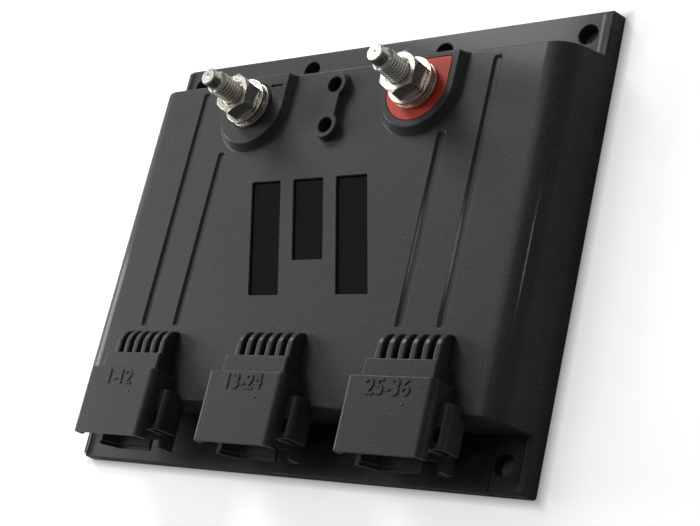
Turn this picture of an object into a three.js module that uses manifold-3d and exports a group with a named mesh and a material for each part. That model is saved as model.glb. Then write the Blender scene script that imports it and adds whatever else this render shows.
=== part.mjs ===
// Power distribution module for a battery rack: a flanged housing on an aluminium back plate, with two
// M8 power terminals, three twelve-way sealed ports and three status windows.
// Millimetres. +X across the width, +Y up the plate towards the terminals, +Z out of the front.
// The origin is the centre of the back face.

import * as THREE from 'three';
import { mergeVertices } from 'three/addons/utils/BufferGeometryUtils.js';
import Module from 'manifold-3d';

const wasm = await Module();
wasm.setup();

// ---------------------------------------------------------------- driving dimensions

const PLATE = { halfWidth: 92.3, halfHeight: 75.5, thickness: 4.6, sideDraft: 1.2, cornerRadius: 2.2 };
const COVER = {
  front: 19.1,            // height of the flat front face
  flatHalfWidth: 79,      // the flat ends here and the rounded side starts
  sideRadius: 9.6,
  sideDraft: 20,          // degrees between the side wall and vertical
  top: 59.9,
  bottom: -58.8,
  endDraft: 1.1,          // how far each end leans in over the cover's height
  wall: 2.4,
};
const CAVITY = { halfWidth: 86, top: 57.4, bottom: -56.3, straight: 10.5 };
const REBATE = { halfWidth: 87.7, top: 61.6, bottom: -60.5, depth: 1.6 };
const SEAL = { inner: 86.45, width: 0.9, height: 1.15, groove: 1.4, gap: 0.25 };
const LIP = { inner: 89.6, height: 0.8 };
const GROOVE = { width: 3.4, depth: 0.8, bottom: -31.4 };
const GROOVES = [{ x: 62.2, top: 56.2 }, { x: 46.9, top: 31.8 }];
const HOLE_RADIUS = 3.3;
const MOUNTING_HOLES = [
  ...[-83, 83].map((x) => [x, 68.2]),
  ...[-28.7, 28.7].map((x) => [x, 68.9]),
  ...[-82.5, 82.5].map((x) => [x, -67.1]),
];

const TERMINAL = { x: 35.3, y: 46.9, bossTop: 22.0, bossRadius: 14.0, bossFoot: 16.2, bossEdge: 58.3 };
const INSULATOR = { halfWidth: 11.7, top: 56.4, discRadius: 8.6, plate: 2.6, sleeve: 6.0, bottom: 13.4, mark: 5 };
const STUD = { radius: 4.0, top: 44.7, pointRadius: 2.95, point: 4.0, chamfer: 0.7, head: 7.4, headTop: 13.2 };
const BUS_BAR = { halfWidth: 9, top: 10.6, thickness: 1.5, low: 38.5, high: 55.5 };
const WASHER = { radius: 8.2, bore: 4.3, flat: 1.2, spring: 1.6, gap: 0.03 };
const NUT = { acrossFlats: 13, height: 6.3, bore: 4.14, turn: { negative: -3, positive: -7 } };

const DOG_BONE = { x: 0.45, high: 51.5, low: 36.7, radius: 4.6, waist: 3.0, height: 2.8, hole: 2.7, depth: 4.3 };

const PORT_CENTRES = [-55.5, 0.4, 56.3];
const PORT = {
  halfWidth: 15.5, front: 29.1, back: 12.2, chamfer: 4.6, wall: 1.8, backWall: 1.2, edgeRadius: 2.2,
  hoodTop: -49.9, mouth: -72.6, rearMouth: -73.6, inner: -55.8, floor: -59.0,
  step: { halfWidth: 13, top: -43.95, front: 26.4 },
  finger: { count: 6, pitch: 4.19, width: 2.4, top: -34.4, front: 24.4, radius: 5.1 },
  keeper: { out: 19.4, top: -55.7, bottom: -69.0, front: 24.8, back: 16.3, wall: 1.4 },
  window: { from: 15.9, to: 17.4, top: -62.9, bottom: -67.2 },
  latchGap: { top: -69.2, low: 17.6, high: 25.4 },
  slot: { from: 5.2, to: 11.0, depth: 4 },
};
const PIN = {
  radius: 0.75, tip: -68.5, rows: [18.4, 22.6], length: 8.5,
  carrier: { halfWidth: 12.1, low: 16.2, high: 24.8, depth: 2 },
};

const WINDOW = { width: 12.6, top: 19, lean: 11.4 / 40.4, gap: 0.15, sink: 0.8, flange: 1.2, flangeHeight: 1 };
const WINDOWS = [
  { name: 'left', corner: -28.4, bottom: -21.4 },
  { name: 'centre', corner: -9.9, bottom: -9.5 },
  { name: 'right', corner: 8.3, bottom: -21.4 },
];

const BOARD = { halfWidth: 77, top: 50.8, bottom: -49.6, low: 3.1, high: 4.7, hole: 1.7 };
const PAD = { halfWidth: 64, top: 30, bottom: -44, low: 1.55, high: 3.05 };
const BOARD_SCREW_POSITIONS = [[-70, -46], [70, -46], [-70, 46], [70, 46]];
const PLATE_SCREW_POSITIONS = [
  ...[-81.5, 81.5].flatMap((x) => [-52, 0, 53].map((y) => [x, y])),
  [0, 54.6],
  [28, -53.4],
];
const SCREW = { shank: 1.2, hole: 1.35, head: 3, headHeight: 1.3, boss: 3.5 };
const PLATE_SCREW = { head: 2.6, headHeight: 0.8, length: 9, counterbore: 2.8, counterboreDepth: 0.9, clear: 1.7 };

// ---------------------------------------------------------------- finishes

function finish(color, roughness, metalness = 0) {
  return new THREE.MeshStandardMaterial({ color, roughness, metalness });
}

const FINISH = {
  moulding: finish(0x2b2c2f, 0.62),
  insulator: finish(0xc8402f, 0.5),
  plated: finish(0xc9c6bd, 0.25, 1),
  aluminium: finish(0xa9acae, 0.45, 1),
  copper: finish(0xb0673e, 0.35, 1),
  rubber: finish(0x1b1b1c, 0.85),
  lens: finish(0x0a0a0c, 0.12),
  laminate: finish(0x1f4a30, 0.55),
  pad: finish(0x7d8fa3, 0.8),
  package: finish(0x17181a, 0.6),
  led: finish(0xd8d8c8, 0.3),
};

// ---------------------------------------------------------------- solid helpers

// Turns a closed three.js geometry into a solid that can be joined and cut.
function solid(geometry) {
  let bare = geometry.clone();
  bare.deleteAttribute('normal');
  bare.deleteAttribute('uv');
  bare = mergeVertices(bare, 1e-4);
  return new wasm.Manifold(new wasm.Mesh({
    numProp: 3,
    vertProperties: new Float32Array(bare.attributes.position.array),
    triVerts: new Uint32Array(bare.index.array),
  }));
}

// Turns a solid back into a three.js geometry.
function surface(body) {
  const mesh = body.getMesh();
  const geometry = new THREE.BufferGeometry();
  geometry.setAttribute('position', new THREE.BufferAttribute(new Float32Array(mesh.vertProperties), 3));
  geometry.setIndex(new THREE.BufferAttribute(new Uint32Array(mesh.triVerts), 1));
  geometry.computeVertexNormals();
  return geometry;
}

function join(...bodies) {
  return bodies.reduce((whole, body) => whole.add(body));
}

function cut(body, ...tools) {
  return tools.reduce((rest, tool) => rest.subtract(tool), body);
}

// A block between two opposite corners.
function block([x0, y0, z0], [x1, y1, z1]) {
  const geometry = new THREE.BoxGeometry(x1 - x0, y1 - y0, z1 - z0);
  geometry.translate((x0 + x1) / 2, (y0 + y1) / 2, (z0 + z1) / 2);
  return solid(geometry);
}

function outline(points) {
  return new THREE.Shape(points.map(([x, y]) => new THREE.Vector2(x, y)));
}

function extrusion(shape, depth, curveSegments = 12) {
  return new THREE.ExtrudeGeometry(shape, { depth, bevelEnabled: false, curveSegments });
}

// An XY outline, raised from one height to another.
function raised(shape, low, high, curveSegments) {
  const geometry = extrusion(shape, high - low, curveSegments);
  geometry.translate(0, 0, low);
  return geometry;
}

// An XZ outline, run along Y from low to high.
function runAlongY(shape, low, high, curveSegments) {
  const geometry = extrusion(shape, high - low, curveSegments);
  geometry.applyMatrix4(new THREE.Matrix4().makeBasis(
    new THREE.Vector3(1, 0, 0), new THREE.Vector3(0, 0, 1), new THREE.Vector3(0, -1, 0)));
  geometry.translate(0, high, 0);
  return geometry;
}

// A YZ outline, run along X from low to high.
function runAlongX(shape, low, high, curveSegments) {
  const geometry = extrusion(shape, high - low, curveSegments);
  geometry.applyMatrix4(new THREE.Matrix4().makeBasis(
    new THREE.Vector3(0, 1, 0), new THREE.Vector3(0, 0, 1), new THREE.Vector3(1, 0, 0)));
  geometry.translate(low, 0, 0);
  return geometry;
}

// Moves each corner point of a geometry by a rule.
function reshape(geometry, rule) {
  const position = geometry.attributes.position;
  for (let i = 0; i < position.count; i += 1) {
    const [x, y, z] = rule(position.getX(i), position.getY(i), position.getZ(i));
    position.setXYZ(i, x, y, z);
  }
  return geometry;
}

// A round solid about a vertical axis, from [radius, height] steps that start and end on the axis.
function turned(steps, x, y, segments = 24) {
  const geometry = new THREE.LatheGeometry(steps.map(([r, z]) => new THREE.Vector2(r, z)), segments);
  geometry.rotateX(Math.PI / 2);
  geometry.translate(x, y, 0);
  return solid(geometry);
}

function rod(radius, low, high, x, y, segments = 20) {
  return turned([[0, low], [radius, low], [radius, high], [0, high]], x, y, segments);
}

function roundedRectangle(halfWidth, halfHeight, radius) {
  const shape = new THREE.Shape();
  const [x, y] = [halfWidth - radius, halfHeight - radius];
  shape.moveTo(-x, -halfHeight);
  shape.absarc(x, -y, radius, -Math.PI / 2, 0);
  shape.absarc(x, y, radius, 0, Math.PI / 2);
  shape.absarc(-x, y, radius, Math.PI / 2, Math.PI);
  shape.absarc(-x, -y, radius, Math.PI, 1.5 * Math.PI);
  return shape;
}

// Straight top edge, straight sides and a half-round bottom about (x, y).
function shieldOutline(x, y, radius, top) {
  const shape = new THREE.Shape();
  shape.moveTo(x + radius, top);
  shape.lineTo(x - radius, top);
  shape.absarc(x, y, radius, Math.PI, 2 * Math.PI);
  return shape;
}

// ---------------------------------------------------------------- front housing

function coverProfile() {
  const lean = THREE.MathUtils.degToRad(COVER.sideDraft);
  const centre = COVER.front - COVER.sideRadius;
  const foot = PLATE.halfWidth - PLATE.sideDraft;
  const shape = new THREE.Shape();
  shape.moveTo(-foot + 1, PLATE.thickness - 2);
  shape.lineTo(foot - 1, PLATE.thickness - 2);
  shape.lineTo(foot, PLATE.thickness);
  shape.absarc(COVER.flatHalfWidth, centre, COVER.sideRadius, lean, Math.PI / 2);
  shape.absarc(-COVER.flatHalfWidth, centre, COVER.sideRadius, Math.PI / 2, Math.PI - lean);
  shape.lineTo(-foot, PLATE.thickness);
  return shape;
}

function coverHull() {
  const geometry = runAlongY(coverProfile(), COVER.bottom, COVER.top, 10);
  const rise = COVER.front - PLATE.thickness;
  return solid(reshape(geometry, (x, y, z) => {
    const lean = COVER.endDraft * Math.max(0, z - PLATE.thickness) / rise;
    return [x, y > 0 ? y - lean : y + lean, z];
  }));
}

function flangePlate() {
  const shape = roundedRectangle(PLATE.halfWidth, PLATE.halfHeight, PLATE.cornerRadius);
  const scale = 1 - PLATE.sideDraft / PLATE.halfWidth;
  const geometry = raised(shape, 0, PLATE.thickness, 4);
  return solid(reshape(geometry, (x, y, z) => [z > 0 ? x * scale : x, y, z]));
}

// Low ridges along the plate's side edges, above and below the cover.
function edgeLips() {
  const outer = PLATE.halfWidth - PLATE.sideDraft;
  const high = PLATE.thickness + LIP.height;
  const spans = [[COVER.top - 1, PLATE.halfHeight - 1], [-PLATE.halfHeight + 1, COVER.bottom + 1]];
  return [-1, 1].flatMap((side) => spans.map(([low, top]) => {
    const [a, b] = [side * LIP.inner, side * outer].sort((p, q) => p - q);
    return block([a, low, PLATE.thickness - 1], [b, top, high]);
  }));
}

function terminalBoss(side) {
  const { y, bossTop, bossRadius, bossFoot, bossEdge } = TERMINAL;
  const x = side * TERMINAL.x;
  const low = COVER.front - 1;
  const slope = (bossFoot - bossRadius) / (bossTop - COVER.front);
  const footRadius = bossFoot + slope;
  const geometry = raised(shieldOutline(x, y, footRadius, bossEdge), low, bossTop, 18);
  const scale = bossRadius / footRadius;
  return solid(reshape(geometry, (px, py, pz) => {
    const k = pz > COVER.front ? scale : 1;
    return [x + (px - x) * k, py < y ? y + (py - y) * k : py, pz];
  }));
}

function dogBone() {
  const { x, high, low, radius, waist, height } = DOG_BONE;
  const turn = THREE.MathUtils.degToRad(48);
  const shape = new THREE.Shape();
  const middle = (high + low) / 2;
  const pull = waist * 2 - radius * Math.cos(turn);
  shape.absarc(0, high, radius, -turn, Math.PI + turn);
  shape.quadraticCurveTo(-pull, middle, -radius * Math.cos(turn), low + radius * Math.sin(turn));
  shape.absarc(0, low, radius, Math.PI - turn, 2 * Math.PI + turn);
  shape.quadraticCurveTo(pull, middle, radius * Math.cos(turn), high - radius * Math.sin(turn));
  return solid(raised(shape, COVER.front - 1, COVER.front + height, 14)).translate([x, 0, 0]);
}

function cavity() {
  const { halfWidth, top, bottom, straight } = CAVITY;
  const ceiling = COVER.front - COVER.wall;
  const half = [[halfWidth, -1], [halfWidth, straight], [84.6, 13.2], [82.2, 15.4], [78.8, ceiling]];
  const points = [...half, ...half.toReversed().map(([x, z]) => [-x, z])];
  return solid(runAlongY(outline(points), bottom, top));
}

function groove(x, top) {
  const half = GROOVE.width / 2;
  const floor = COVER.front - GROOVE.depth;
  const shape = outline([
    [x - half + GROOVE.depth, floor], [x + half - GROOVE.depth, floor],
    [x + half + 1, COVER.front + 1], [x - half - 1, COVER.front + 1],
  ]);
  return solid(runAlongY(shape, GROOVE.bottom, top));
}

function windowOutline({ corner, bottom }, grow) {
  const slide = WINDOW.lean * (WINDOW.top - bottom);
  const [top, low] = [WINDOW.top + grow, bottom - grow];
  return outline([
    [corner + slide - grow, low], [corner + slide + WINDOW.width + grow, low],
    [corner + WINDOW.width + grow, top], [corner - grow, top],
  ]);
}

// The ring that the seal lies in, or the seal itself, by how much wider it is on each side.
function sealRing(grow, low, high) {
  const ring = (offset) => {
    const inset = REBATE.halfWidth - SEAL.inner - offset;
    return [
      [-REBATE.halfWidth + inset, REBATE.bottom + inset, low],
      [REBATE.halfWidth - inset, REBATE.top - inset, high],
    ];
  };
  const [a, b] = ring(-grow);
  const outer = block(...ring(SEAL.width + grow));
  return cut(outer, block([a[0], a[1], low - 1], [b[0], b[1], high + 1]));
}

function screwBosses() {
  const ceiling = COVER.front - COVER.wall + 0.5;
  const plateBosses = PLATE_SCREW_POSITIONS.map(([x, y]) => rod(SCREW.boss, REBATE.depth, ceiling - 3, x, y, 16));
  const boardBosses = BOARD_SCREW_POSITIONS.map(([x, y]) => rod(SCREW.boss, BOARD.high + 0.1, ceiling, x, y, 16));
  return [...plateBosses, ...boardBosses];
}

function screwHoles() {
  const reach = PLATE_SCREW.length + 1.5;
  return [...PLATE_SCREW_POSITIONS, ...BOARD_SCREW_POSITIONS].map(
    ([x, y]) => rod(SCREW.hole, 0, reach + 1, x, y, 12));
}

function terminalPockets() {
  const { x, y, bossTop } = TERMINAL;
  const plateLow = bossTop - INSULATOR.plate - 0.1;
  const shield = shieldOutline(x, y, INSULATOR.halfWidth + 0.12, INSULATOR.top + 0.12);
  const redPocket = solid(raised(shield, plateLow, bossTop + 1, 16));
  const blackPocket = rod(INSULATOR.discRadius + 0.12, plateLow, bossTop + 1, -x, y, 32);
  const bores = [-1, 1].map((side) => rod(INSULATOR.sleeve + 0.12, COVER.front - 5, bossTop + 1, side * x, y, 32));
  return [redPocket, blackPocket, ...bores];
}

function negativeMark() {
  const [x, y, half] = [-25.8, 53.8, 2.5];
  return block([x - half, y - 0.5, TERMINAL.bossTop - 0.5], [x + half, y + 0.5, TERMINAL.bossTop + 1]);
}

function portOpenings() {
  const half = PORT.halfWidth + 0.15;
  return PORT_CENTRES.map((x) => block(
    [x - half, COVER.bottom - 1, PORT.back - 0.15], [x + half, CAVITY.bottom + 0.7, COVER.front + 1]));
}

function frontHousing() {
  const shell = cut(
    join(flangePlate(), coverHull(), ...edgeLips()),
    cavity(),
    block([-REBATE.halfWidth, REBATE.bottom, -1], [REBATE.halfWidth, REBATE.top, REBATE.depth]),
    sealRing(SEAL.gap, REBATE.depth - 0.5, REBATE.depth + SEAL.groove),
  );
  const bossed = join(shell, terminalBoss(-1), terminalBoss(1), dogBone(), ...screwBosses());
  const { x: boneX, height, hole, depth, high, low } = DOG_BONE;
  const boneTop = COVER.front + height;
  return cut(
    bossed,
    ...[high, low].map((y) => rod(hole, boneTop - depth, boneTop + 1, boneX, y)),
    ...GROOVES.flatMap(({ x, top }) => [groove(-x, top), groove(x, top)]),
    ...MOUNTING_HOLES.map(([x, y]) => rod(HOLE_RADIUS, -1, PLATE.thickness + 2, x, y)),
    ...WINDOWS.map((pane) => solid(raised(windowOutline(pane, 0), COVER.front - 4, COVER.front + 1))),
    ...terminalPockets(),
    negativeMark(),
    ...portOpenings(),
    ...screwHoles(),
  );
}

// ---------------------------------------------------------------- back plate, seal, board and pad

function backPlate() {
  const gap = 0.3;
  const plate = block(
    [-REBATE.halfWidth + gap, REBATE.bottom + gap, 0],
    [REBATE.halfWidth - gap, REBATE.top - gap, REBATE.depth - 0.1]);
  const holes = PLATE_SCREW_POSITIONS.flatMap(([x, y]) => [
    rod(PLATE_SCREW.clear, -1, 3, x, y, 12),
    rod(PLATE_SCREW.counterbore, -1, PLATE_SCREW.counterboreDepth, x, y, 16),
  ]);
  return cut(plate, ...holes);
}

function circuitBoard() {
  const { halfWidth, top, bottom, low, high, hole } = BOARD;
  const board = block([-halfWidth, bottom, low], [halfWidth, top, high]);
  return cut(board, ...BOARD_SCREW_POSITIONS.map(([x, y]) => rod(hole, low - 1, high + 1, x, y, 16)));
}

function screw(head, headHeight, start, length, [x, y]) {
  return turned([
    [0, start], [head, start], [head, start + headHeight], [SCREW.shank, start + headHeight],
    [SCREW.shank, start + length], [0, start + length],
  ], x, y, 12);
}

// ---------------------------------------------------------------- terminals

function stud(x) {
  const { radius, top, pointRadius, point, chamfer, head, headTop } = STUD;
  return turned([
    [0, BUS_BAR.top + 0.1], [head, BUS_BAR.top + 0.1], [head, headTop], [radius, headTop],
    [radius, top - point - chamfer], [radius - chamfer, top - point], [pointRadius, top - point],
    [pointRadius, top - chamfer], [pointRadius - chamfer, top], [0, top],
  ], x, TERMINAL.y);
}

// A sleeve round the stud under a top plate that is flush with the boss.
function insulator(side) {
  const x = side * TERMINAL.x;
  const { bossTop, y } = TERMINAL;
  const plateLow = bossTop - INSULATOR.plate;
  const plate = side > 0
    ? solid(raised(shieldOutline(x, y, INSULATOR.halfWidth, INSULATOR.top), plateLow, bossTop, 16))
    : rod(INSULATOR.discRadius, plateLow, bossTop, x, y, 32);
  const sleeve = rod(INSULATOR.sleeve, INSULATOR.bottom, plateLow + 0.5, x, y, 24);
  const bore = rod(STUD.radius + 0.12, INSULATOR.bottom - 1, bossTop + 1, x, y, 24);
  return side > 0 ? cut(join(plate, sleeve), bore, ...positiveMark()) : cut(join(plate, sleeve), bore);
}

function positiveMark() {
  const [x, y, half, top] = [25.9, 53.6, INSULATOR.mark / 2 - 0.6, TERMINAL.bossTop];
  return [
    block([x - half, y - 0.45, top - 0.4], [x + half, y + 0.45, top + 1]),
    block([x - 0.45, y - half, top - 0.4], [x + 0.45, y + half, top + 1]),
  ];
}

// A flat bar under the stud's head, with a leg down to the board at each end.
function busBar(x) {
  const { halfWidth, top, thickness, low, high } = BUS_BAR;
  const foot = BOARD.high + 0.05;
  const legEnd = BOARD.top - 1;
  return join(
    block([x - halfWidth, low, top - thickness], [x + halfWidth, high, top]),
    block([x - halfWidth, low, foot], [x + halfWidth, low + thickness, top]),
    block([x - halfWidth, legEnd - thickness, foot], [x + halfWidth, legEnd, top]),
  );
}

function ring(radius, bore, low, high, x, y) {
  return cut(rod(radius, low, high, x, y, 32), rod(bore, low - 1, high + 1, x, y, 24));
}

// A coil of one turn, cut through on one side.
function springWasher(low, high, x, y) {
  const split = block([x - 0.6, y, low - 1], [x + 0.6, y + 10, high + 1]);
  return cut(ring(WASHER.radius - 0.9, WASHER.bore, low, high, x, y), split);
}

// A hexagon with its top and bottom corners chamfered.
function nut(low, x, y, turn) {
  const corner = NUT.acrossFlats / Math.sqrt(3);
  const hexagon = new THREE.CylinderGeometry(corner, corner, NUT.height, 6);
  hexagon.rotateX(Math.PI / 2);
  hexagon.rotateZ(THREE.MathUtils.degToRad(turn));
  hexagon.translate(x, y, low + NUT.height / 2);
  const [flat, high, drop] = [NUT.acrossFlats / 2 - 0.1, low + NUT.height, 0.75];
  const chamfers = turned([
    [0, low], [flat, low], [corner + 0.1, low + drop], [corner + 0.1, high - drop], [flat, high], [0, high],
  ], x, y, 36);
  return cut(solid(hexagon).intersect(chamfers), rod(NUT.bore, low - 1, high + 1, x, y, 24));
}

// ---------------------------------------------------------------- ports

// The port's outside or inside outline: rounded at the front, with one back corner cut off as a key.
function portProfile(halfWidth, front, back, chamfer, radius) {
  const shape = new THREE.Shape();
  shape.moveTo(-halfWidth + chamfer, back);
  shape.lineTo(halfWidth, back);
  shape.absarc(halfWidth - radius, front - radius, radius, 0, Math.PI / 2);
  shape.absarc(-halfWidth + radius, front - radius, radius, Math.PI / 2, Math.PI);
  shape.lineTo(-halfWidth, back + chamfer);
  return shape;
}

function fingers() {
  const { count, pitch, width, top, front, radius } = PORT.finger;
  const seat = COVER.front + 0.1;
  const shape = new THREE.Shape();
  shape.moveTo(PORT.hoodTop, seat);
  shape.lineTo(top, seat);
  shape.absarc(top - radius, front - radius, radius, 0, Math.PI / 2);
  shape.lineTo(PORT.hoodTop, front);
  return Array.from({ length: count }, (_, i) => {
    const middle = (i - (count - 1) / 2) * pitch;
    return solid(runAlongX(shape, middle - width / 2, middle + width / 2, 7));
  });
}

// One latch keeper: a tunnel beside the port, open at the mouth, with a window for the catch.
function keeper(side) {
  const { out, top, bottom, front, back, wall } = PORT.keeper;
  const inner = PORT.halfWidth - 0.4;
  const place = (x0, x1) => (side > 0 ? [x0, x1] : [-x1, -x0]);
  const piece = (x0, x1, y0, y1, z0, z1) => {
    const [a, b] = place(x0, x1);
    return block([a, y0, z0], [b, y1, z1]);
  };
  const body = join(
    piece(inner, out, bottom, top, COVER.front + 0.1, front),
    piece(inner, out, bottom, COVER.bottom - 0.4, back, COVER.front + 0.5),
  );
  return cut(
    body,
    piece(PORT.halfWidth + 0.2, out - wall, bottom - 1, top - 2, back + wall, front - wall),
    piece(PORT.window.from, PORT.window.to, PORT.window.bottom, PORT.window.top, front - wall - 1, front + 1),
  );
}

// Room for the plug's latch arms beside the mouth, and a keying slot in the back wall.
function mouthCuts() {
  const { halfWidth, rearMouth, back, latchGap, slot } = PORT;
  const gap = (a, b) => block([a, rearMouth - 1, latchGap.low], [b, latchGap.top, latchGap.high]);
  return [
    gap(halfWidth - 4, halfWidth + 1),
    gap(-halfWidth - 1, -halfWidth + 4),
    block([slot.from, rearMouth - 1, back - 1], [slot.to, rearMouth + slot.depth, back + 3]),
  ];
}

function portShell(x) {
  const { halfWidth, front, back, chamfer, wall, backWall, edgeRadius, hoodTop, mouth, rearMouth, inner } = PORT;
  const seat = COVER.front + 0.1;
  const profile = portProfile(halfWidth, front, back, chamfer, edgeRadius);
  const shroud = solid(runAlongY(profile, rearMouth, inner, 4));
  const hood = solid(runAlongY(profile, mouth, hoodTop, 4)).intersect(
    block([-halfWidth, mouth, seat], [halfWidth, hoodTop, front]));
  const { step } = PORT;
  const stepBlock = block([-step.halfWidth, hoodTop - 1, seat], [step.halfWidth, step.top, step.front]);
  const hollow = portProfile(halfWidth - wall, front - wall, back + backWall, chamfer - 0.5, 1);
  const frontTrim = block([-halfWidth - 1, rearMouth - 1, front - 4], [halfWidth + 1, mouth, front + 1]);
  const body = join(
    cut(shroud, frontTrim), hood, stepBlock, ...fingers(), keeper(-1), keeper(1));
  const opened = cut(body, solid(runAlongY(hollow, rearMouth - 1, PORT.floor, 4)), ...mouthCuts());
  return opened.translate([x, 0, 0]);
}

// Twelve contact pins standing on a carrier at the floor of the port.
function portContacts(x) {
  const { halfWidth, low, high, depth } = PIN.carrier;
  const floor = PORT.floor - 0.05;
  const carrier = block([-halfWidth, floor - depth, low], [halfWidth, floor, high]);
  const { count, pitch } = PORT.finger;
  const pins = PIN.rows.flatMap((z) => Array.from({ length: count }, (_, i) => {
    const pin = new THREE.CylinderGeometry(PIN.radius, PIN.radius, PIN.length, 8);
    pin.translate((i - (count - 1) / 2) * pitch, PIN.tip + PIN.length / 2, z);
    return solid(pin);
  }));
  return join(carrier, ...pins).translate([x, 0, 0]);
}

// ---------------------------------------------------------------- windows and lights

function windowLens(pane) {
  const high = COVER.front - WINDOW.sink;
  const ceiling = COVER.front - COVER.wall;
  return join(
    solid(raised(windowOutline(pane, -WINDOW.gap), ceiling - 0.5, high)),
    solid(raised(windowOutline(pane, WINDOW.flange), ceiling - 0.1 - WINDOW.flangeHeight, ceiling - 0.1)),
  );
}

function lightStrip(pane) {
  return solid(raised(windowOutline(pane, -4), BOARD.high + 0.05, BOARD.high + 1.6));
}

// ---------------------------------------------------------------- assembly

const group = new THREE.Group();

function addPart(name, body, material) {
  const mesh = new THREE.Mesh(surface(body), material);
  mesh.name = name;
  group.add(mesh);
}

addPart('front_housing', frontHousing(), FINISH.moulding);
addPart('back_plate', backPlate(), FINISH.aluminium);
addPart('perimeter_seal', sealRing(0, REBATE.depth, REBATE.depth + SEAL.height), FINISH.rubber);
addPart('circuit_board', circuitBoard(), FINISH.laminate);
addPart('thermal_pad', block([-PAD.halfWidth, PAD.bottom, PAD.low], [PAD.halfWidth, PAD.top, PAD.high]), FINISH.pad);

PLATE_SCREW_POSITIONS.forEach((place, i) => addPart(
  `back_plate_screw_${i + 1}`,
  screw(PLATE_SCREW.head, PLATE_SCREW.headHeight, 0.05, PLATE_SCREW.length, place),
  FINISH.plated));
BOARD_SCREW_POSITIONS.forEach((place, i) => addPart(
  `board_screw_${i + 1}`,
  screw(SCREW.head, SCREW.headHeight, BOARD.low - 0.05 - SCREW.headHeight, PLATE_SCREW.length, place),
  FINISH.plated));

for (const [pole, side] of [['negative', -1], ['positive', 1]]) {
  const [x, { y }] = [side * TERMINAL.x, TERMINAL];
  const lower = TERMINAL.bossTop + WASHER.gap;
  const spring = lower + WASHER.flat + WASHER.gap;
  const upper = spring + WASHER.spring + WASHER.gap;
  addPart(`${pole}_stud`, stud(x), FINISH.plated);
  addPart(`${pole}_insulator`, insulator(side), side > 0 ? FINISH.insulator : FINISH.moulding);
  addPart(`${pole}_bus_bar`, busBar(x), FINISH.copper);
  addPart(`${pole}_lower_washer`, ring(WASHER.radius, WASHER.bore, lower, lower + WASHER.flat, x, y), FINISH.plated);
  addPart(`${pole}_spring_washer`, springWasher(spring, spring + WASHER.spring, x, y), FINISH.plated);
  addPart(`${pole}_upper_washer`, ring(WASHER.radius, WASHER.bore, upper, upper + WASHER.flat, x, y), FINISH.plated);
  addPart(`${pole}_nut`, nut(upper + WASHER.flat + WASHER.gap, x, y, NUT.turn[pole]), FINISH.plated);
}

PORT_CENTRES.forEach((x, i) => {
  addPart(`port_${i + 1}_shell`, portShell(x), FINISH.moulding);
  addPart(`port_${i + 1}_contacts`, portContacts(x), FINISH.plated);
});

for (const pane of WINDOWS) {
  addPart(`${pane.name}_status_window`, windowLens(pane), FINISH.lens);
  addPart(`${pane.name}_light_strip`, lightStrip(pane), FINISH.led);
}

[-62, -40, -18, 18, 40, 62].forEach((x, i) => addPart(
  `power_transistor_${i + 1}`, block([x - 5, -42, BOARD.high + 0.05], [x + 5, -30, BOARD.high + 4.5]), FINISH.package));
[-66, -54, 54, 66].forEach((x, i) => addPart(
  `capacitor_${i + 1}`, rod(4.6, BOARD.high + 0.05, BOARD.high + 10, x, 12, 20), FINISH.package));
addPart('processor', block([-8, 30, BOARD.high + 0.05], [8, 46, BOARD.high + 1.5]), FINISH.package);

export default group;
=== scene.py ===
"""Looks of a battery rack's power distribution module, built round its CAD frame.

Lengths are in millimetres until a piece is placed, and in metres after that.
"""

import logging
import math
from collections.abc import Callable, Sequence
from dataclasses import dataclass, field
from enum import Enum

import bmesh
import bpy
from mathutils import Matrix, Vector


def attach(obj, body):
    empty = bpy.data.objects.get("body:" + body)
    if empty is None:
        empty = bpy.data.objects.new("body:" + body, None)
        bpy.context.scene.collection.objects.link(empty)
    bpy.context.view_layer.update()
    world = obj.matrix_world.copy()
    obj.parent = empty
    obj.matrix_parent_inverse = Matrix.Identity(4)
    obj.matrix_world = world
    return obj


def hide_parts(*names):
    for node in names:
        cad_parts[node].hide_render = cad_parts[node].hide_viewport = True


LOG = logging.getLogger("power_module")
MM = 0.001
FLAT_ANGLE = 0.3  # degrees: faces closer in angle than this are made one
BUMP_DEPTH = 0.00008  # metres
THREAD_STEPS = 40  # along each turn of a thread
THREAD_SIDES = 12  # round a thread's ridge

Point = tuple[float, float]
Outline = list[Point]
Level = tuple[float, float]
Spot = tuple[float, float, float]
Value = bpy.types.NodeSocket | float


# ------------------------------------------------------------------ choices


class Run(Enum):
    """The direction in which an outline is run to make a solid."""

    UP = "an XY outline, raised along Z"
    ALONG_Y = "an XZ outline, run along Y"
    ALONG_X = "a YZ outline, run along X"


class Join(Enum):
    """How one solid meets others."""

    UNION = "UNION"
    CUT = "DIFFERENCE"
    COMMON = "INTERSECT"


class Pole(Enum):
    """A terminal's polarity, with the side of the module that it stands on."""

    NEGATIVE = -1
    POSITIVE = 1


class Body(Enum):
    """A body of the CAD frame that pieces ride on."""

    MODULE = "module"
    POSITIVE_WASHER = "positive_washer"
    POSITIVE_NUT = "positive_nut"
    NEGATIVE_WASHER = "negative_washer"
    NEGATIVE_NUT = "negative_nut"


# ------------------------------------------------------------------ outlines


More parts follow.
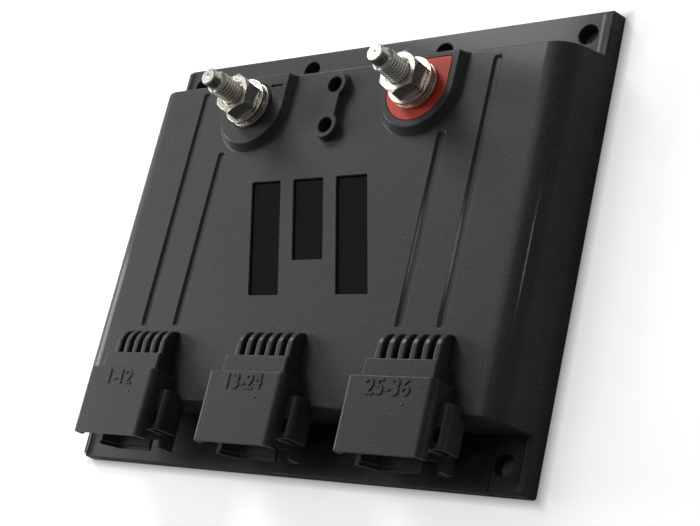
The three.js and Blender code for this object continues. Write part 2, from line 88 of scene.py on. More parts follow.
def softened(corners: Sequence[Spot], steps: int = 5) -> Outline:
    """Rounds the corners of a polygon.

    Args:
        corners: each corner's place and radius, counter-clockwise.
        steps: how many edges make one rounded corner.

    Returns:
        The outline with its arcs in it.
    """
    points: Outline = []
    for i, (x, y, radius) in enumerate(corners):
        if radius <= 0:
            points.append((x, y))
            continue
        here = Vector((x, y))
        back = (Vector(corners[i - 1][:2]) - here).normalized()
        ahead = (Vector(corners[(i + 1) % len(corners)][:2]) - here).normalized()
        half = back.angle(ahead) / 2
        centre = here + (back + ahead).normalized() * (radius / math.sin(half))
        start = here + back * (radius / math.tan(half)) - centre
        end = here + ahead * (radius / math.tan(half)) - centre
        turn = math.copysign(math.pi - 2 * half, start.x * end.y - start.y * end.x)
        for k in range(steps + 1):
            spoke = Matrix.Rotation(turn * k / steps, 2) @ start
            points.append((centre.x + spoke.x, centre.y + spoke.y))
    return points


def arc(x: float, y: float, radius: float, start: float, end: float, steps: int) -> Outline:
    """Points on an arc about (x, y), with its angles in degrees."""
    angles = [math.radians(start + (end - start) * k / steps) for k in range(steps + 1)]
    return [(x + radius * math.cos(a), y + radius * math.sin(a)) for a in angles]


def rectangle(x: Point, y: Point, radius: float = 0.0, steps: int = 4) -> Outline:
    """A rectangle between two x and two y values, with rounded corners."""
    corners = [(x[0], y[0]), (x[1], y[0]), (x[1], y[1]), (x[0], y[1])]
    return softened([(a, b, radius) for a, b in corners], steps)


def offset(outline: Outline, shift: float) -> Outline:
    """Moves a counter-clockwise outline outwards, or inwards where shift is negative.

    Args:
        outline: the outline.
        shift: how far each edge moves.

    Returns:
        The moved outline, with as many points.
    """
    moved: Outline = []
    for i, here in enumerate(outline):
        before = Vector(here) - Vector(outline[i - 1])
        after = Vector(outline[(i + 1) % len(outline)]) - Vector(here)
        a = Vector((before.y, -before.x)).normalized()
        b = Vector((after.y, -after.x)).normalized()
        step = (a + b) * (shift / max(0.2, 1 + a.dot(b)))
        moved.append((here[0] + step.x, here[1] + step.y))
    return moved


def soft_ends(low: float, high: float, low_soft: float = 0.0, high_soft: float = 0.0,
              steps: int = 3) -> list[Level]:
    """Levels of a solid whose edges at one or both ends are rounded.

    Args:
        low: where the solid starts.
        high: where it ends.
        low_soft: radius of the edges at the start.
        high_soft: radius of the edges at the end.
        steps: how many bands make one rounded edge.

    Returns:
        Pairs of the outline's shift and its height.
    """
    quarter = [math.pi / 2 * k / steps for k in range(steps + 1)]
    waves = [(1 - math.sin(a), 1 - math.cos(a)) for a in quarter]
    levels: list[Level] = [(0.0, low + low_soft), (0.0, high - high_soft)]
    if low_soft:
        levels = [(-low_soft * sine, low + low_soft * cosine) for sine, cosine in waves[:-1]] + levels
    if high_soft:
        levels += [(-high_soft * cosine, high - high_soft * sine) for sine, cosine in waves[1:]]
    return levels


# ------------------------------------------------------------------ solids


class Solid:
    """A closed body in millimetres that can be joined, cut and moved."""

    def __init__(self, mesh: bpy.types.Mesh) -> None:
        """Keeps the mesh of the body."""
        self.mesh = mesh

    @classmethod
    def from_bmesh(cls, bm: bmesh.types.BMesh) -> "Solid":
        """Turns a bmesh into a solid with its faces pointing outwards.

        Args:
            bm: the closed mesh, which is freed.

        Returns:
            The solid.
        """
        bmesh.ops.remove_doubles(bm, verts=bm.verts, dist=1e-5)
        bmesh.ops.recalc_face_normals(bm, faces=bm.faces)
        mesh = bpy.data.meshes.new("solid")
        bm.to_mesh(mesh)
        bm.free()
        return cls(mesh)

    @classmethod
    def loft(cls, outline: Outline, levels: Sequence[Level], run: Run = Run.UP) -> "Solid":
        """Stacks shifted copies of one outline.

        Args:
            outline: the counter-clockwise outline.
            levels: pairs of shift and height.
            run: which way the heights go.

        Returns:
            The closed solid.
        """
        bm = bmesh.new()
        rings = []
        for shift, height in levels:
            ring = []
            for u, v in offset(outline, shift) if shift else outline:
                spots = {Run.UP: (u, v, height), Run.ALONG_Y: (u, height, v), Run.ALONG_X: (height, u, v)}
                ring.append(bm.verts.new(spots[run]))
            rings.append(ring)
        for lower, upper in zip(rings, rings[1:]):
            for i in range(len(lower)):
                j = (i + 1) % len(lower)
                bm.faces.new((lower[i], lower[j], upper[j], upper[i]))
        bm.faces.new(rings[0][::-1])
        bm.faces.new(rings[-1])
        return cls.from_bmesh(bm)

    @classmethod
    def block(cls, low: Spot, high: Spot, soft: float = 0.0) -> "Solid":
        """A block between two corners, with all its edges rounded by soft."""
        outline = rectangle((low[0], high[0]), (low[1], high[1]), soft * 1.01, 3)
        return cls.loft(outline, soft_ends(low[2], high[2], soft, soft, 2))

    @classmethod
    def turned(cls, steps: Sequence[Point], x: float = 0.0, y: float = 0.0, segments: int = 48) -> "Solid":
        """A solid of revolution about a vertical axis.

        Args:
            steps: radius and height of each step. A first and last radius of zero close it on the axis,
                and otherwise the steps are a closed section of a ring.
            x: the axis.
            y: the axis.
            segments: how many sides it has.

        Returns:
            The closed solid.
        """
        bm = bmesh.new()
        rings = []
        spokes = [2 * math.pi * k / segments for k in range(segments)]
        for radius, height in steps:
            if radius <= 0:
                rings.append([bm.verts.new((x, y, height))] * segments)
                continue
            circle = [(x + radius * math.cos(a), y + radius * math.sin(a), height) for a in spokes]
            rings.append([bm.verts.new(spot) for spot in circle])
        on_axis = steps[0][0] <= 0
        pairs = list(zip(rings, rings[1:])) if on_axis else list(zip(rings, rings[1:] + rings[:1]))
        for lower, upper in pairs:
            for i in range(segments):
                j = (i + 1) % segments
                corners = list(dict.fromkeys((lower[i], lower[j], upper[j], upper[i])))
                if len(corners) > 2:
                    bm.faces.new(corners)
        return cls.from_bmesh(bm)

    @classmethod
    def rod(cls, radius: float, low: float, high: float, x: float, y: float, segments: int = 48) -> "Solid":
        """A round bar from one height to another."""
        return cls.turned([(0, low), (radius, low), (radius, high), (0, high)], x, y, segments)

    @classmethod
    def drill(cls, radius: float, low: float, face: float, x: float, y: float, rim: float = 0.3) -> "Solid":
        """A cutter for a round hole whose rim at a face is chamfered."""
        top = face + rim
        steps = [(0, low), (radius, low), (radius, face - rim), (radius + rim * 2, top), (0, top)]
        return cls.turned(steps, x, y)

    @classmethod
    def lettering(cls, words: str, size: float, height: float) -> "Solid":
        """Raised characters about the origin.

        Args:
            words: what is written.
            size: size of the type.
            height: how far it stands up.

        Returns:
            The solid characters, starting a little below zero.
        """
        curve = bpy.data.curves.new("lettering", "FONT")
        curve.body, curve.size = words, size
        curve.align_x, curve.align_y = "CENTER", "CENTER"
        curve.extrude, curve.bevel_depth, curve.bevel_resolution = height, 0.06, 1
        curve.resolution_u = 4
        holder = bpy.data.objects.new("lettering", curve)
        bpy.context.scene.collection.objects.link(holder)
        return cls(evaluated(holder))

    def combined(self, how: Join, others: Sequence["Solid"]) -> "Solid":
        """Joins, cuts or intersects this solid with others.

        Args:
            how: what is done.
            others: the solids to join, cut or intersect with, taken one by one.

        Returns:
            The new solid.
        """
        holder = linked("work", self.mesh)
        tools = [linked("tool", other.mesh) for other in others]
        for tool in tools:
            step = holder.modifiers.new("step", "BOOLEAN")
            step.operation, step.solver, step.object = how.value, "MANIFOLD", tool
        mesh = evaluated(holder)
        for tool in tools:
            bpy.data.objects.remove(tool)
        if not mesh.polygons:
            raise RuntimeError("a cut left nothing")
        return Solid(mesh)

    def joined(self, *others: "Solid") -> "Solid":
        """This solid and others made one."""
        return self.combined(Join.UNION, others)

    def cut(self, *tools: "Solid") -> "Solid":
        """This solid with others taken out of it."""
        return self.combined(Join.CUT, tools)

    def transformed(self, matrix: Matrix) -> "Solid":
        """This solid, moved or turned."""
        self.mesh.transform(matrix)
        return self

    def moved(self, x: float = 0.0, y: float = 0.0, z: float = 0.0) -> "Solid":
        """This solid, moved."""
        return self.transformed(Matrix.Translation((x, y, z)))

    def copied(self) -> "Solid":
        """A second solid of the same shape."""
        return Solid(self.mesh.copy())

    def reshaped(self, rule: Callable[[float, float, float], Spot]) -> "Solid":
        """This solid with each point moved by a rule.

        Args:
            rule: gives a point's new place from its old one.

        Returns:
            The same solid.
        """
        for vertex in self.mesh.vertices:
            vertex.co = rule(*vertex.co)
        self.mesh.update()
        return self


def linked(name: str, data: bpy.types.ID) -> bpy.types.Object:
    """A new object in the scene.

    Args:
        name: what it is called.
        data: its mesh, curve, light or camera.

    Returns:
        The object.
    """
    piece = bpy.data.objects.new(name, data)
    bpy.context.scene.collection.objects.link(piece)
    return piece


def evaluated(holder: bpy.types.Object) -> bpy.types.Mesh:
    """The final mesh of an object, which is then removed.

    Args:
        holder: an object whose modifiers are live.

    Returns:
        A plain mesh with the modifiers in it.
    """
    bpy.context.view_layer.update()
    graph = bpy.context.evaluated_depsgraph_get()
    mesh = bpy.data.meshes.new_from_object(holder.evaluated_get(graph))
    bpy.data.objects.remove(holder)
    return mesh


# ------------------------------------------------------------------ node trees and repeated shapes


class Graph:
    """A node tree with short ways to add, set and link its nodes."""

    def __init__(self, tree: bpy.types.NodeTree) -> None:
        """Keeps the node tree."""
        self.tree = tree

    def add(self, kind: str, **settings: object) -> bpy.types.Node:
        """Adds a node and sets its options.

        Args:
            kind: the node's type.
            settings: options by name.

        Returns:
            The node.
        """
        node = self.tree.nodes.new(kind)
        for key, value in settings.items():
            setattr(node, key, value)
        return node

    def wire(self, start: bpy.types.NodeSocket, end: bpy.types.NodeSocket) -> None:
        """Links two sockets."""
        self.tree.links.new(start, end)

    def feed(self, node: bpy.types.Node, values: dict[str | int, object]) -> bpy.types.Node:
        """Sets a node's inputs, each to a value or by a link from a socket.

        Args:
            node: the node.
            values: what goes to each input, by its name or number.

        Returns:
            The same node.
        """
        for key, value in values.items():
            if isinstance(value, bpy.types.NodeSocket):
                self.wire(value, node.inputs[key])
            else:
                node.inputs[key].default_value = value
        return node

    def math(self, how: str, *values: Value) -> bpy.types.NodeSocket:
        """One sum, product or the like of up to three values."""
        return self.feed(self.add("ShaderNodeMath", operation=how), dict(enumerate(values))).outputs[0]

    def total(self, *parts: tuple[bpy.types.NodeSocket, float], start: float = 0.0) -> bpy.types.NodeSocket:
        """The weighted sum of several values, added to a starting value.

        Args:
            parts: each value with its weight.
            start: what the sum starts from.

        Returns:
            The sum.
        """
        value: Value = start
        for socket, weight in parts:
            value = self.math("MULTIPLY_ADD", socket, weight, value)
        return value

    def ramp(self, value: bpy.types.NodeSocket, low: float, high: float,
             out_low: float = 0.0, out_high: float = 1.0) -> bpy.types.NodeSocket:
        """Maps a value from one range to another, held at the ends."""
        ends = {"From Min": low, "From Max": high, "To Min": out_low, "To Max": out_high}
        return self.feed(self.add("ShaderNodeMapRange"), {"Value": value, **ends}).outputs["Result"]

    def blend(self, factor: Value, a: object, b: object) -> bpy.types.NodeSocket:
        """A colour between two others."""
        node = self.add("ShaderNodeMix", data_type="RGBA")
        return self.feed(node, {"Factor": factor, "A": a, "B": b}).outputs["Result"]


class Tree(Graph):
    """A Geometry Nodes tree with named inputs, which ends in Realize Instances and Set Material."""

    def __init__(self, name: str, inputs: Sequence[tuple[str, str]]) -> None:
        """Makes the tree's sockets.

        Args:
            name: what the tree is called.
            inputs: each input's name and socket type.
        """
        super().__init__(bpy.data.node_groups.new(name, "GeometryNodeTree"))
        sockets = self.tree.interface
        sockets.new_socket("Geometry", in_out="INPUT", socket_type="NodeSocketGeometry")
        self.keys = {}
        for label, kind in [*inputs, ("Finish", "NodeSocketMaterial")]:
            self.keys[label] = sockets.new_socket(label, in_out="INPUT", socket_type=kind).identifier
        sockets.new_socket("Geometry", in_out="OUTPUT", socket_type="NodeSocketGeometry")
        self.source = self.add("NodeGroupInput")

    def close(self, geometry: bpy.types.NodeSocket) -> None:
        """Ends the tree after the given geometry.

        Args:
            geometry: what the tree has made.
        """
        realize = self.add("GeometryNodeRealizeInstances")
        dress = self.add("GeometryNodeSetMaterial")
        sink = self.add("NodeGroupOutput")
        self.wire(geometry, realize.inputs[0])
        self.wire(realize.outputs[0], dress.inputs["Geometry"])
        self.wire(self.source.outputs["Finish"], dress.inputs["Material"])
        self.wire(dress.outputs[0], sink.inputs[0])

    def made(self, base: bpy.types.Mesh, values: dict[str, object]) -> Solid:
        """Runs the tree on a mesh.

        Args:
            base: the mesh that the tree starts from.
            values: a value for each named input.

        Returns:
            The plain mesh that comes out.
        """
        holder = linked(self.tree.name, base)
        step = holder.modifiers.new("nodes", "NODES")
        step.node_group = self.tree
        for label, value in values.items():
            step[self.keys[label]] = value
        return Solid(evaluated(holder))


class RowTree(Tree):
    """Copies of one piece at equal steps along a line."""

    def __init__(self) -> None:
        """Builds the tree."""
        super().__init__("row_of_pieces", [
            ("Piece", "NodeSocketObject"), ("Count", "NodeSocketInt"),
            ("Start", "NodeSocketVector"), ("Step", "NodeSocketVector")])
        line = self.add("GeometryNodeMeshLine", mode="OFFSET")
        info = self.add("GeometryNodeObjectInfo")
        copies = self.add("GeometryNodeInstanceOnPoints")
        given = self.source.outputs
        self.feed(line, {"Count": given["Count"], "Start Location": given["Start"], "Offset": given["Step"]})
        self.feed(info, {"Object": given["Piece"]})
        self.feed(copies, {"Points": line.outputs[0], "Instance": info.outputs["Geometry"]})
        self.close(copies.outputs[0])

    def row(self, piece: Solid, count: int, start: Spot, step: Spot, finish: bpy.types.Material) -> Solid:
        """Makes a row of one piece.

        Args:
            piece: what is copied.
            count: how many there are.
            start: the first copy's place.
            step: from one copy to the next.
            finish: their material.

        Returns:
            All the copies as one solid.
        """
        pattern = linked("pattern", piece.mesh)
        made = self.made(bpy.data.meshes.new("row"), {
            "Piece": pattern, "Count": count, "Start": Vector(start), "Step": Vector(step),
            "Finish": finish})
        bpy.data.objects.remove(pattern)
        return made


class ScatterTree(Tree):
    """Copies of one piece on given points, each turned about its axis by its own angle."""

    def __init__(self) -> None:
        """Builds the tree."""
        super().__init__("pieces_on_points", [
            ("Piece", "NodeSocketObject"), ("Turn", "NodeSocketFloat"), ("Seed", "NodeSocketInt")])
        info = self.add("GeometryNodeObjectInfo")
        angle = self.add("FunctionNodeRandomValue", data_type="FLOAT")
        spin = self.add("ShaderNodeCombineXYZ")
        copies = self.add("GeometryNodeInstanceOnPoints")
        upper = next(s for s in angle.inputs if s.name == "Max" and s.type == "VALUE")
        value = next(s for s in angle.outputs if s.type == "VALUE")
        given = self.source.outputs
        self.wire(given["Turn"], upper)
        self.feed(info, {"Object": given["Piece"]})
        self.feed(angle, {"Seed": given["Seed"]})
        self.feed(spin, {"Z": value})
        self.feed(copies, {"Points": given["Geometry"], "Instance": info.outputs["Geometry"],
                           "Rotation": spin.outputs[0]})
        self.close(copies.outputs[0])

    def scattered(self, piece: Solid, places: Sequence[Spot], turn: float, seed: int,
                  finish: bpy.types.Material) -> Solid:
        """Puts one piece on each of the places.

        Args:
            piece: what is copied.
            places: the copies' places.
            turn: the most that a copy is turned, in radians.
            seed: fixes the turns.
            finish: their material.

        Returns:
            All the copies as one solid.
        """
        points = bpy.data.meshes.new("points")
        points.from_pydata([Vector(p) for p in places], [], [])
        pattern = linked("pattern", piece.mesh)
        made = self.made(points, {"Piece": pattern, "Turn": turn, "Seed": seed, "Finish": finish})
        bpy.data.objects.remove(pattern)
        return made


class ThreadTree(Tree):
    """A helical ridge with a rounded crest."""

    def __init__(self) -> None:
        """Builds the tree."""
        super().__init__("screw_thread", [
            ("Root Radius", "NodeSocketFloat"), ("Height", "NodeSocketFloat"), ("Turns", "NodeSocketFloat"),
            ("Ridge", "NodeSocketFloat")])
        spiral = self.add("GeometryNodeCurveSpiral")
        upright = self.add("GeometryNodeSetCurveNormal", mode="Z_UP")
        section = self.add("GeometryNodeCurvePrimitiveCircle", mode="RADIUS")
        sweep = self.add("GeometryNodeCurveToMesh")
        given = self.source.outputs
        root = given["Root Radius"]
        self.feed(spiral, {"Resolution": THREAD_STEPS, "Start Radius": root, "End Radius": root,
                           "Height": given["Height"], "Rotations": given["Turns"]})
        self.feed(section, {"Resolution": THREAD_SIDES, "Radius": given["Ridge"]})
        self.feed(upright, {0: spiral.outputs[0]})
        self.feed(sweep, {"Curve": upright.outputs[0], "Profile Curve": section.outputs[0], "Fill Caps": True})
        self.close(sweep.outputs[0])

    def ridge(self, root: float, pitch: float, height: float, depth: float,
              finish: bpy.types.Material) -> Solid:
        """A thread's ridge from zero up to a height.

        Args:
            root: radius of the thread's root.
            pitch: height of one turn.
            height: how far it climbs.
            depth: radius of the ridge's section.
            finish: its material.

        Returns:
            The ridge.
        """
        return self.made(bpy.data.meshes.new("thread"), {
            "Root Radius": root, "Height": height, "Turns": height / pitch, "Ridge": depth,
            "Finish": finish})


@dataclass
class Workshop:
    """The trees that several sub-assemblies share."""

    row: RowTree = field(default_factory=RowTree)
    scatter: ScatterTree = field(default_factory=ScatterTree)
    thread: ThreadTree = field(default_factory=ThreadTree)


# ------------------------------------------------------------------ shared shader effects


class Effect(Graph):
    """A shader node group with named inputs and outputs, which several finishes use."""

    def __init__(self, name: str, inputs: dict[str, float], outputs: Sequence[str]) -> None:
        """Makes the group's sockets.

        Args:
            name: what the group is called.
            inputs: names and starting values of the inputs after Place.
            outputs: names of the outputs.
        """
        super().__init__(bpy.data.node_groups.new(name, "ShaderNodeTree"))
        sockets = self.tree.interface
        sockets.new_socket("Place", in_out="INPUT", socket_type="NodeSocketVector")
        for label, value in inputs.items():
            sockets.new_socket(label, in_out="INPUT", socket_type="NodeSocketFloat").default_value = value
        for label in outputs:
            sockets.new_socket(label, in_out="OUTPUT", socket_type="NodeSocketFloat")
        self.source, self.sink = self.add("NodeGroupInput"), self.add("NodeGroupOutput")

    def noise(self, scale: float, detail: float = 2.0, stretch: Spot = (1, 1, 1)) -> bpy.types.NodeSocket:
        """A noise over the piece's own coordinates, stretched along an axis.

        Args:
            scale: how fine it is.
            detail: how many finer layers it has.
            stretch: its scale along each axis.

        Returns:
            The noise, from zero to one.
        """
        mapping = self.add("ShaderNodeMapping")
        self.feed(mapping, {"Scale": stretch, "Vector": self.source.outputs["Place"]})
        texture = self.add("ShaderNodeTexNoise")
        self.feed(texture, {"Scale": scale, "Detail": detail, "Vector": mapping.outputs[0]})
        return texture.outputs["Fac"]

    def put(self, label: str, value: bpy.types.NodeSocket) -> None:
        """Sends a value to an output."""
        self.wire(value, self.sink.inputs[label])


def grain_effect() -> Effect:
    """Spark-eroded mould grain: Height of the pits, and Fleck where a pit catches the light.

    Returns:
        The shader group.
    """
    effect = Effect("mould_grain", {"Depth": 1.0}, ["Height", "Fleck"])
    fine = effect.noise(4200, 2)
    coarse = effect.noise(1300, 3)
    both = effect.math("ADD", effect.math("MULTIPLY", fine, 0.45), effect.math("MULTIPLY", coarse, 0.55))
    effect.put("Height", effect.math("MULTIPLY", both, effect.source.outputs["Depth"]))
    effect.put("Fleck", effect.ramp(both, 0.52, 0.68))
    return effect


def handling_effect() -> Effect:
    """Haze of handling, a scatter of dust specks and light rubs, each from zero to one.

    Returns:
        The shader group.
    """
    effect = Effect("handling_marks", {"Amount": 1.0}, ["Haze", "Dust", "Rub"])
    amount = effect.source.outputs["Amount"]
    effect.put("Haze", effect.math("MULTIPLY", effect.ramp(effect.noise(28, 5), 0.35, 0.75), amount))
    specks, clouds = effect.ramp(effect.noise(900, 1), 0.78, 0.82), effect.ramp(effect.noise(60, 2), 0.5, 0.6)
    effect.put("Dust", effect.math("MULTIPLY", effect.math("MULTIPLY", specks, clouds), amount))
    rub = effect.ramp(effect.noise(160, 3, (1, 9, 1)), 0.68, 0.74)
    effect.put("Rub", effect.math("MULTIPLY", rub, amount))
    return effect


def lines_effect() -> Effect:
    """Fine lines left by rolling or turning, as a Height and a Streak value.

    Returns:
        The shader group.
    """
    effect = Effect("tool_lines", {"Depth": 1.0}, ["Height", "Streak"])
    along = effect.noise(900, 3, (0.03, 1, 1))
    effect.put("Height", effect.math("MULTIPLY", along, effect.source.outputs["Depth"]))
    effect.put("Streak", effect.ramp(effect.noise(240, 4, (0.05, 1, 1)), 0.35, 0.7))
    return effect


class Effects:
    """The shared effects, each made once."""

    grain: Effect
    handling: Effect
    lines: Effect

    @classmethod
    def prepare(cls) -> None:
        """Builds each effect."""
        cls.grain, cls.handling, cls.lines = grain_effect(), handling_effect(), lines_effect()


# ------------------------------------------------------------------ finishes


@dataclass(frozen=True)
class Finish:
    """A surface finish: its record slot, its colours and how much of each effect it shows."""

    slot: str
    colour: Spot
    pale: Spot
    roughness: Point
    grain: float = 0.0
    lines: float = 0.0
    handling: float = 1.0
    metallic: float = 0.0
    specular: float = 0.5
    coat: float = 0.0
    coat_roughness: float = 0.04
    name: str = ""

    def material(self) -> bpy.types.Material:
        """The finish's material, built on first use."""
        title = (self.name or self.slot) + "_finish"
        return bpy.data.materials.get(title) or self.build(title)

    def build(self, title: str) -> bpy.types.Material:
        """Makes the node tree of the finish.

        Args:
            title: the material's name.

        Returns:
            The material.
        """
        material = bpy.data.materials.new(title)
        material.use_nodes = True
        graph = Graph(material.node_tree)
        shader = material.node_tree.nodes["Principled BSDF"]
        place = graph.add("ShaderNodeTexCoord").outputs["Object"]

        def effect(source: Effect, label: str, amount: float) -> bpy.types.bpy_prop_collection:
            """The outputs of a shared effect, placed with its own strength."""
            node = graph.add("ShaderNodeGroup", node_tree=source.tree)
            return graph.feed(node, {label: amount, "Place": place}).outputs

        grain = effect(Effects.grain, "Depth", 1.0)
        marks = effect(Effects.handling, "Amount", self.handling)
        lines = effect(Effects.lines, "Depth", 1.0)
        tone = graph.total((grain["Fleck"], 0.55 * min(1.0, self.grain + 0.15)), (marks["Haze"], 0.3),
                           (marks["Dust"], 0.9), (lines["Streak"], 0.5 * min(1.0, self.lines)))
        wear = graph.total((marks["Haze"], 0.6), (grain["Height"], 0.35), (marks["Rub"], -0.35))
        relief = graph.total((grain["Height"], self.grain), (lines["Height"], self.lines), (marks["Dust"], 0.4))
        bump = graph.feed(graph.add("ShaderNodeBump"), {
            "Distance": BUMP_DEPTH, "Strength": min(1.0, 0.1 + self.grain), "Height": relief})
        graph.feed(shader, {
            "Base Color": graph.blend(tone, (*self.colour, 1), (*self.pale, 1)),
            "Roughness": graph.ramp(wear, 0.0, 1.0, *self.roughness),
            "Normal": bump.outputs["Normal"],
            "Metallic": self.metallic,
            "Specular IOR Level": self.specular,
            "Coat Weight": self.coat,
            "Coat Roughness": self.coat_roughness})
        return material


MOULDING = Finish("black_moulding", (0.013, 0.014, 0.0168), (0.106, 0.111, 0.122), (0.55, 0.70), grain=0.8,
                  specular=0.36, coat=0.20, coat_roughness=0.10)
INSULATOR_BLACK = Finish("black_moulding", (0.020, 0.020, 0.022), (0.06, 0.06, 0.065), (0.44, 0.6),
                         grain=0.3, name="black_insulator")
INSULATOR_RED = Finish("red_insulator", (0.66, 0.055, 0.026), (0.74, 0.11, 0.06), (0.5, 0.66), grain=0.3,
                       specular=0.35)
PLATED = Finish("plated_steel", (0.60, 0.575, 0.51), (0.82, 0.79, 0.72), (0.20, 0.38),
                grain=0.08, lines=0.15, handling=0.8, metallic=1.0)
SCREW_STEEL = Finish("screw_steel", (0.50, 0.50, 0.51), (0.70, 0.70, 0.70), (0.24, 0.42),
                     grain=0.1, lines=0.3, metallic=1.0)
CONTACT = Finish("contact_metal", (0.74, 0.60, 0.34), (0.90, 0.80, 0.55), (0.18, 0.36),
                 grain=0.05, lines=0.2, metallic=1.0)
COPPER = Finish("copper_bar", (0.68, 0.31, 0.17), (0.85, 0.50, 0.34), (0.25, 0.5),
                grain=0.1, lines=0.6, metallic=1.0)
ALUMINIUM = Finish("aluminium_plate", (0.52, 0.53, 0.54), (0.70, 0.70, 0.70), (0.30, 0.52),
                   grain=0.12, lines=0.9, metallic=1.0)
RUBBER = Finish("seal_rubber", (0.018, 0.018, 0.019), (0.06, 0.06, 0.06), (0.6, 0.85), grain=0.4)
LENS = Finish("smoked_lens", (0.010, 0.011, 0.0115), (0.022, 0.022, 0.023), (0.02, 0.06),
              handling=0.4, specular=0.35)
DIFFUSER = Finish("light_diffuser", (0.70, 0.70, 0.64), (0.85, 0.85, 0.80), (0.35, 0.5), grain=0.1)
LAMINATE = Finish("board_laminate", (0.012, 0.085, 0.038), (0.05, 0.20, 0.10), (0.22, 0.4),
                  grain=0.15, coat=0.3)
PAD_RUBBER = Finish("thermal_pad", (0.20, 0.27, 0.37), (0.32, 0.40, 0.50), (0.6, 0.8), grain=0.5)
EPOXY = Finish("package_black", (0.018, 0.018, 0.020), (0.06, 0.06, 0.065), (0.45, 0.6), grain=0.4)
CAN = Finish("capacitor_can", (0.50, 0.50, 0.52), (0.72, 0.72, 0.74), (0.22, 0.4),
             grain=0.05, lines=0.3, metallic=1.0)


# ------------------------------------------------------------------ placing


def place(name: str, solids: Sequence[Solid], finish: Finish, body: Body = Body.MODULE,
          replaces: Sequence[str] = (), angle: float = 32.0) -> bpy.types.Object:
    """Makes one finished piece from solids.

    Args:
        name: the piece's name.
        solids: its closed bodies, in millimetres.
        finish: what it is made of.
        body: the CAD body that it rides on.
        replaces: the CAD nodes that it stands for.
        angle: edges sharper than this many degrees stay sharp.

    Returns:
        The piece's object.
    """
    bm = bmesh.new()
    for solid in solids:
        bm.from_mesh(solid.mesh)
    bmesh.ops.dissolve_limit(bm, angle_limit=math.radians(FLAT_ANGLE), verts=bm.verts, edges=bm.edges)
    for face in bm.faces:
        face.smooth = True
        face.material_index = 0
    mesh = bpy.data.meshes.new(name)
    bm.to_mesh(mesh)
    bm.free()
    mesh.transform(Matrix.Scale(MM, 4))
    mesh.set_sharp_from_angle(angle=math.radians(angle))
    holder = linked(name + "_raw", mesh)
    even = holder.modifiers.new("even", "WEIGHTED_NORMAL")
    even.keep_sharp, even.weight = True, 80
    mesh = evaluated(holder)
    mesh.materials.clear()
    mesh.materials.append(finish.material())
    piece = linked(name, mesh)
    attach(piece, body.value)
    if replaces:
        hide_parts(*replaces)
    LOG.info("%s: %d faces", name, len(mesh.polygons))
    return piece


# ------------------------------------------------------------------ housing


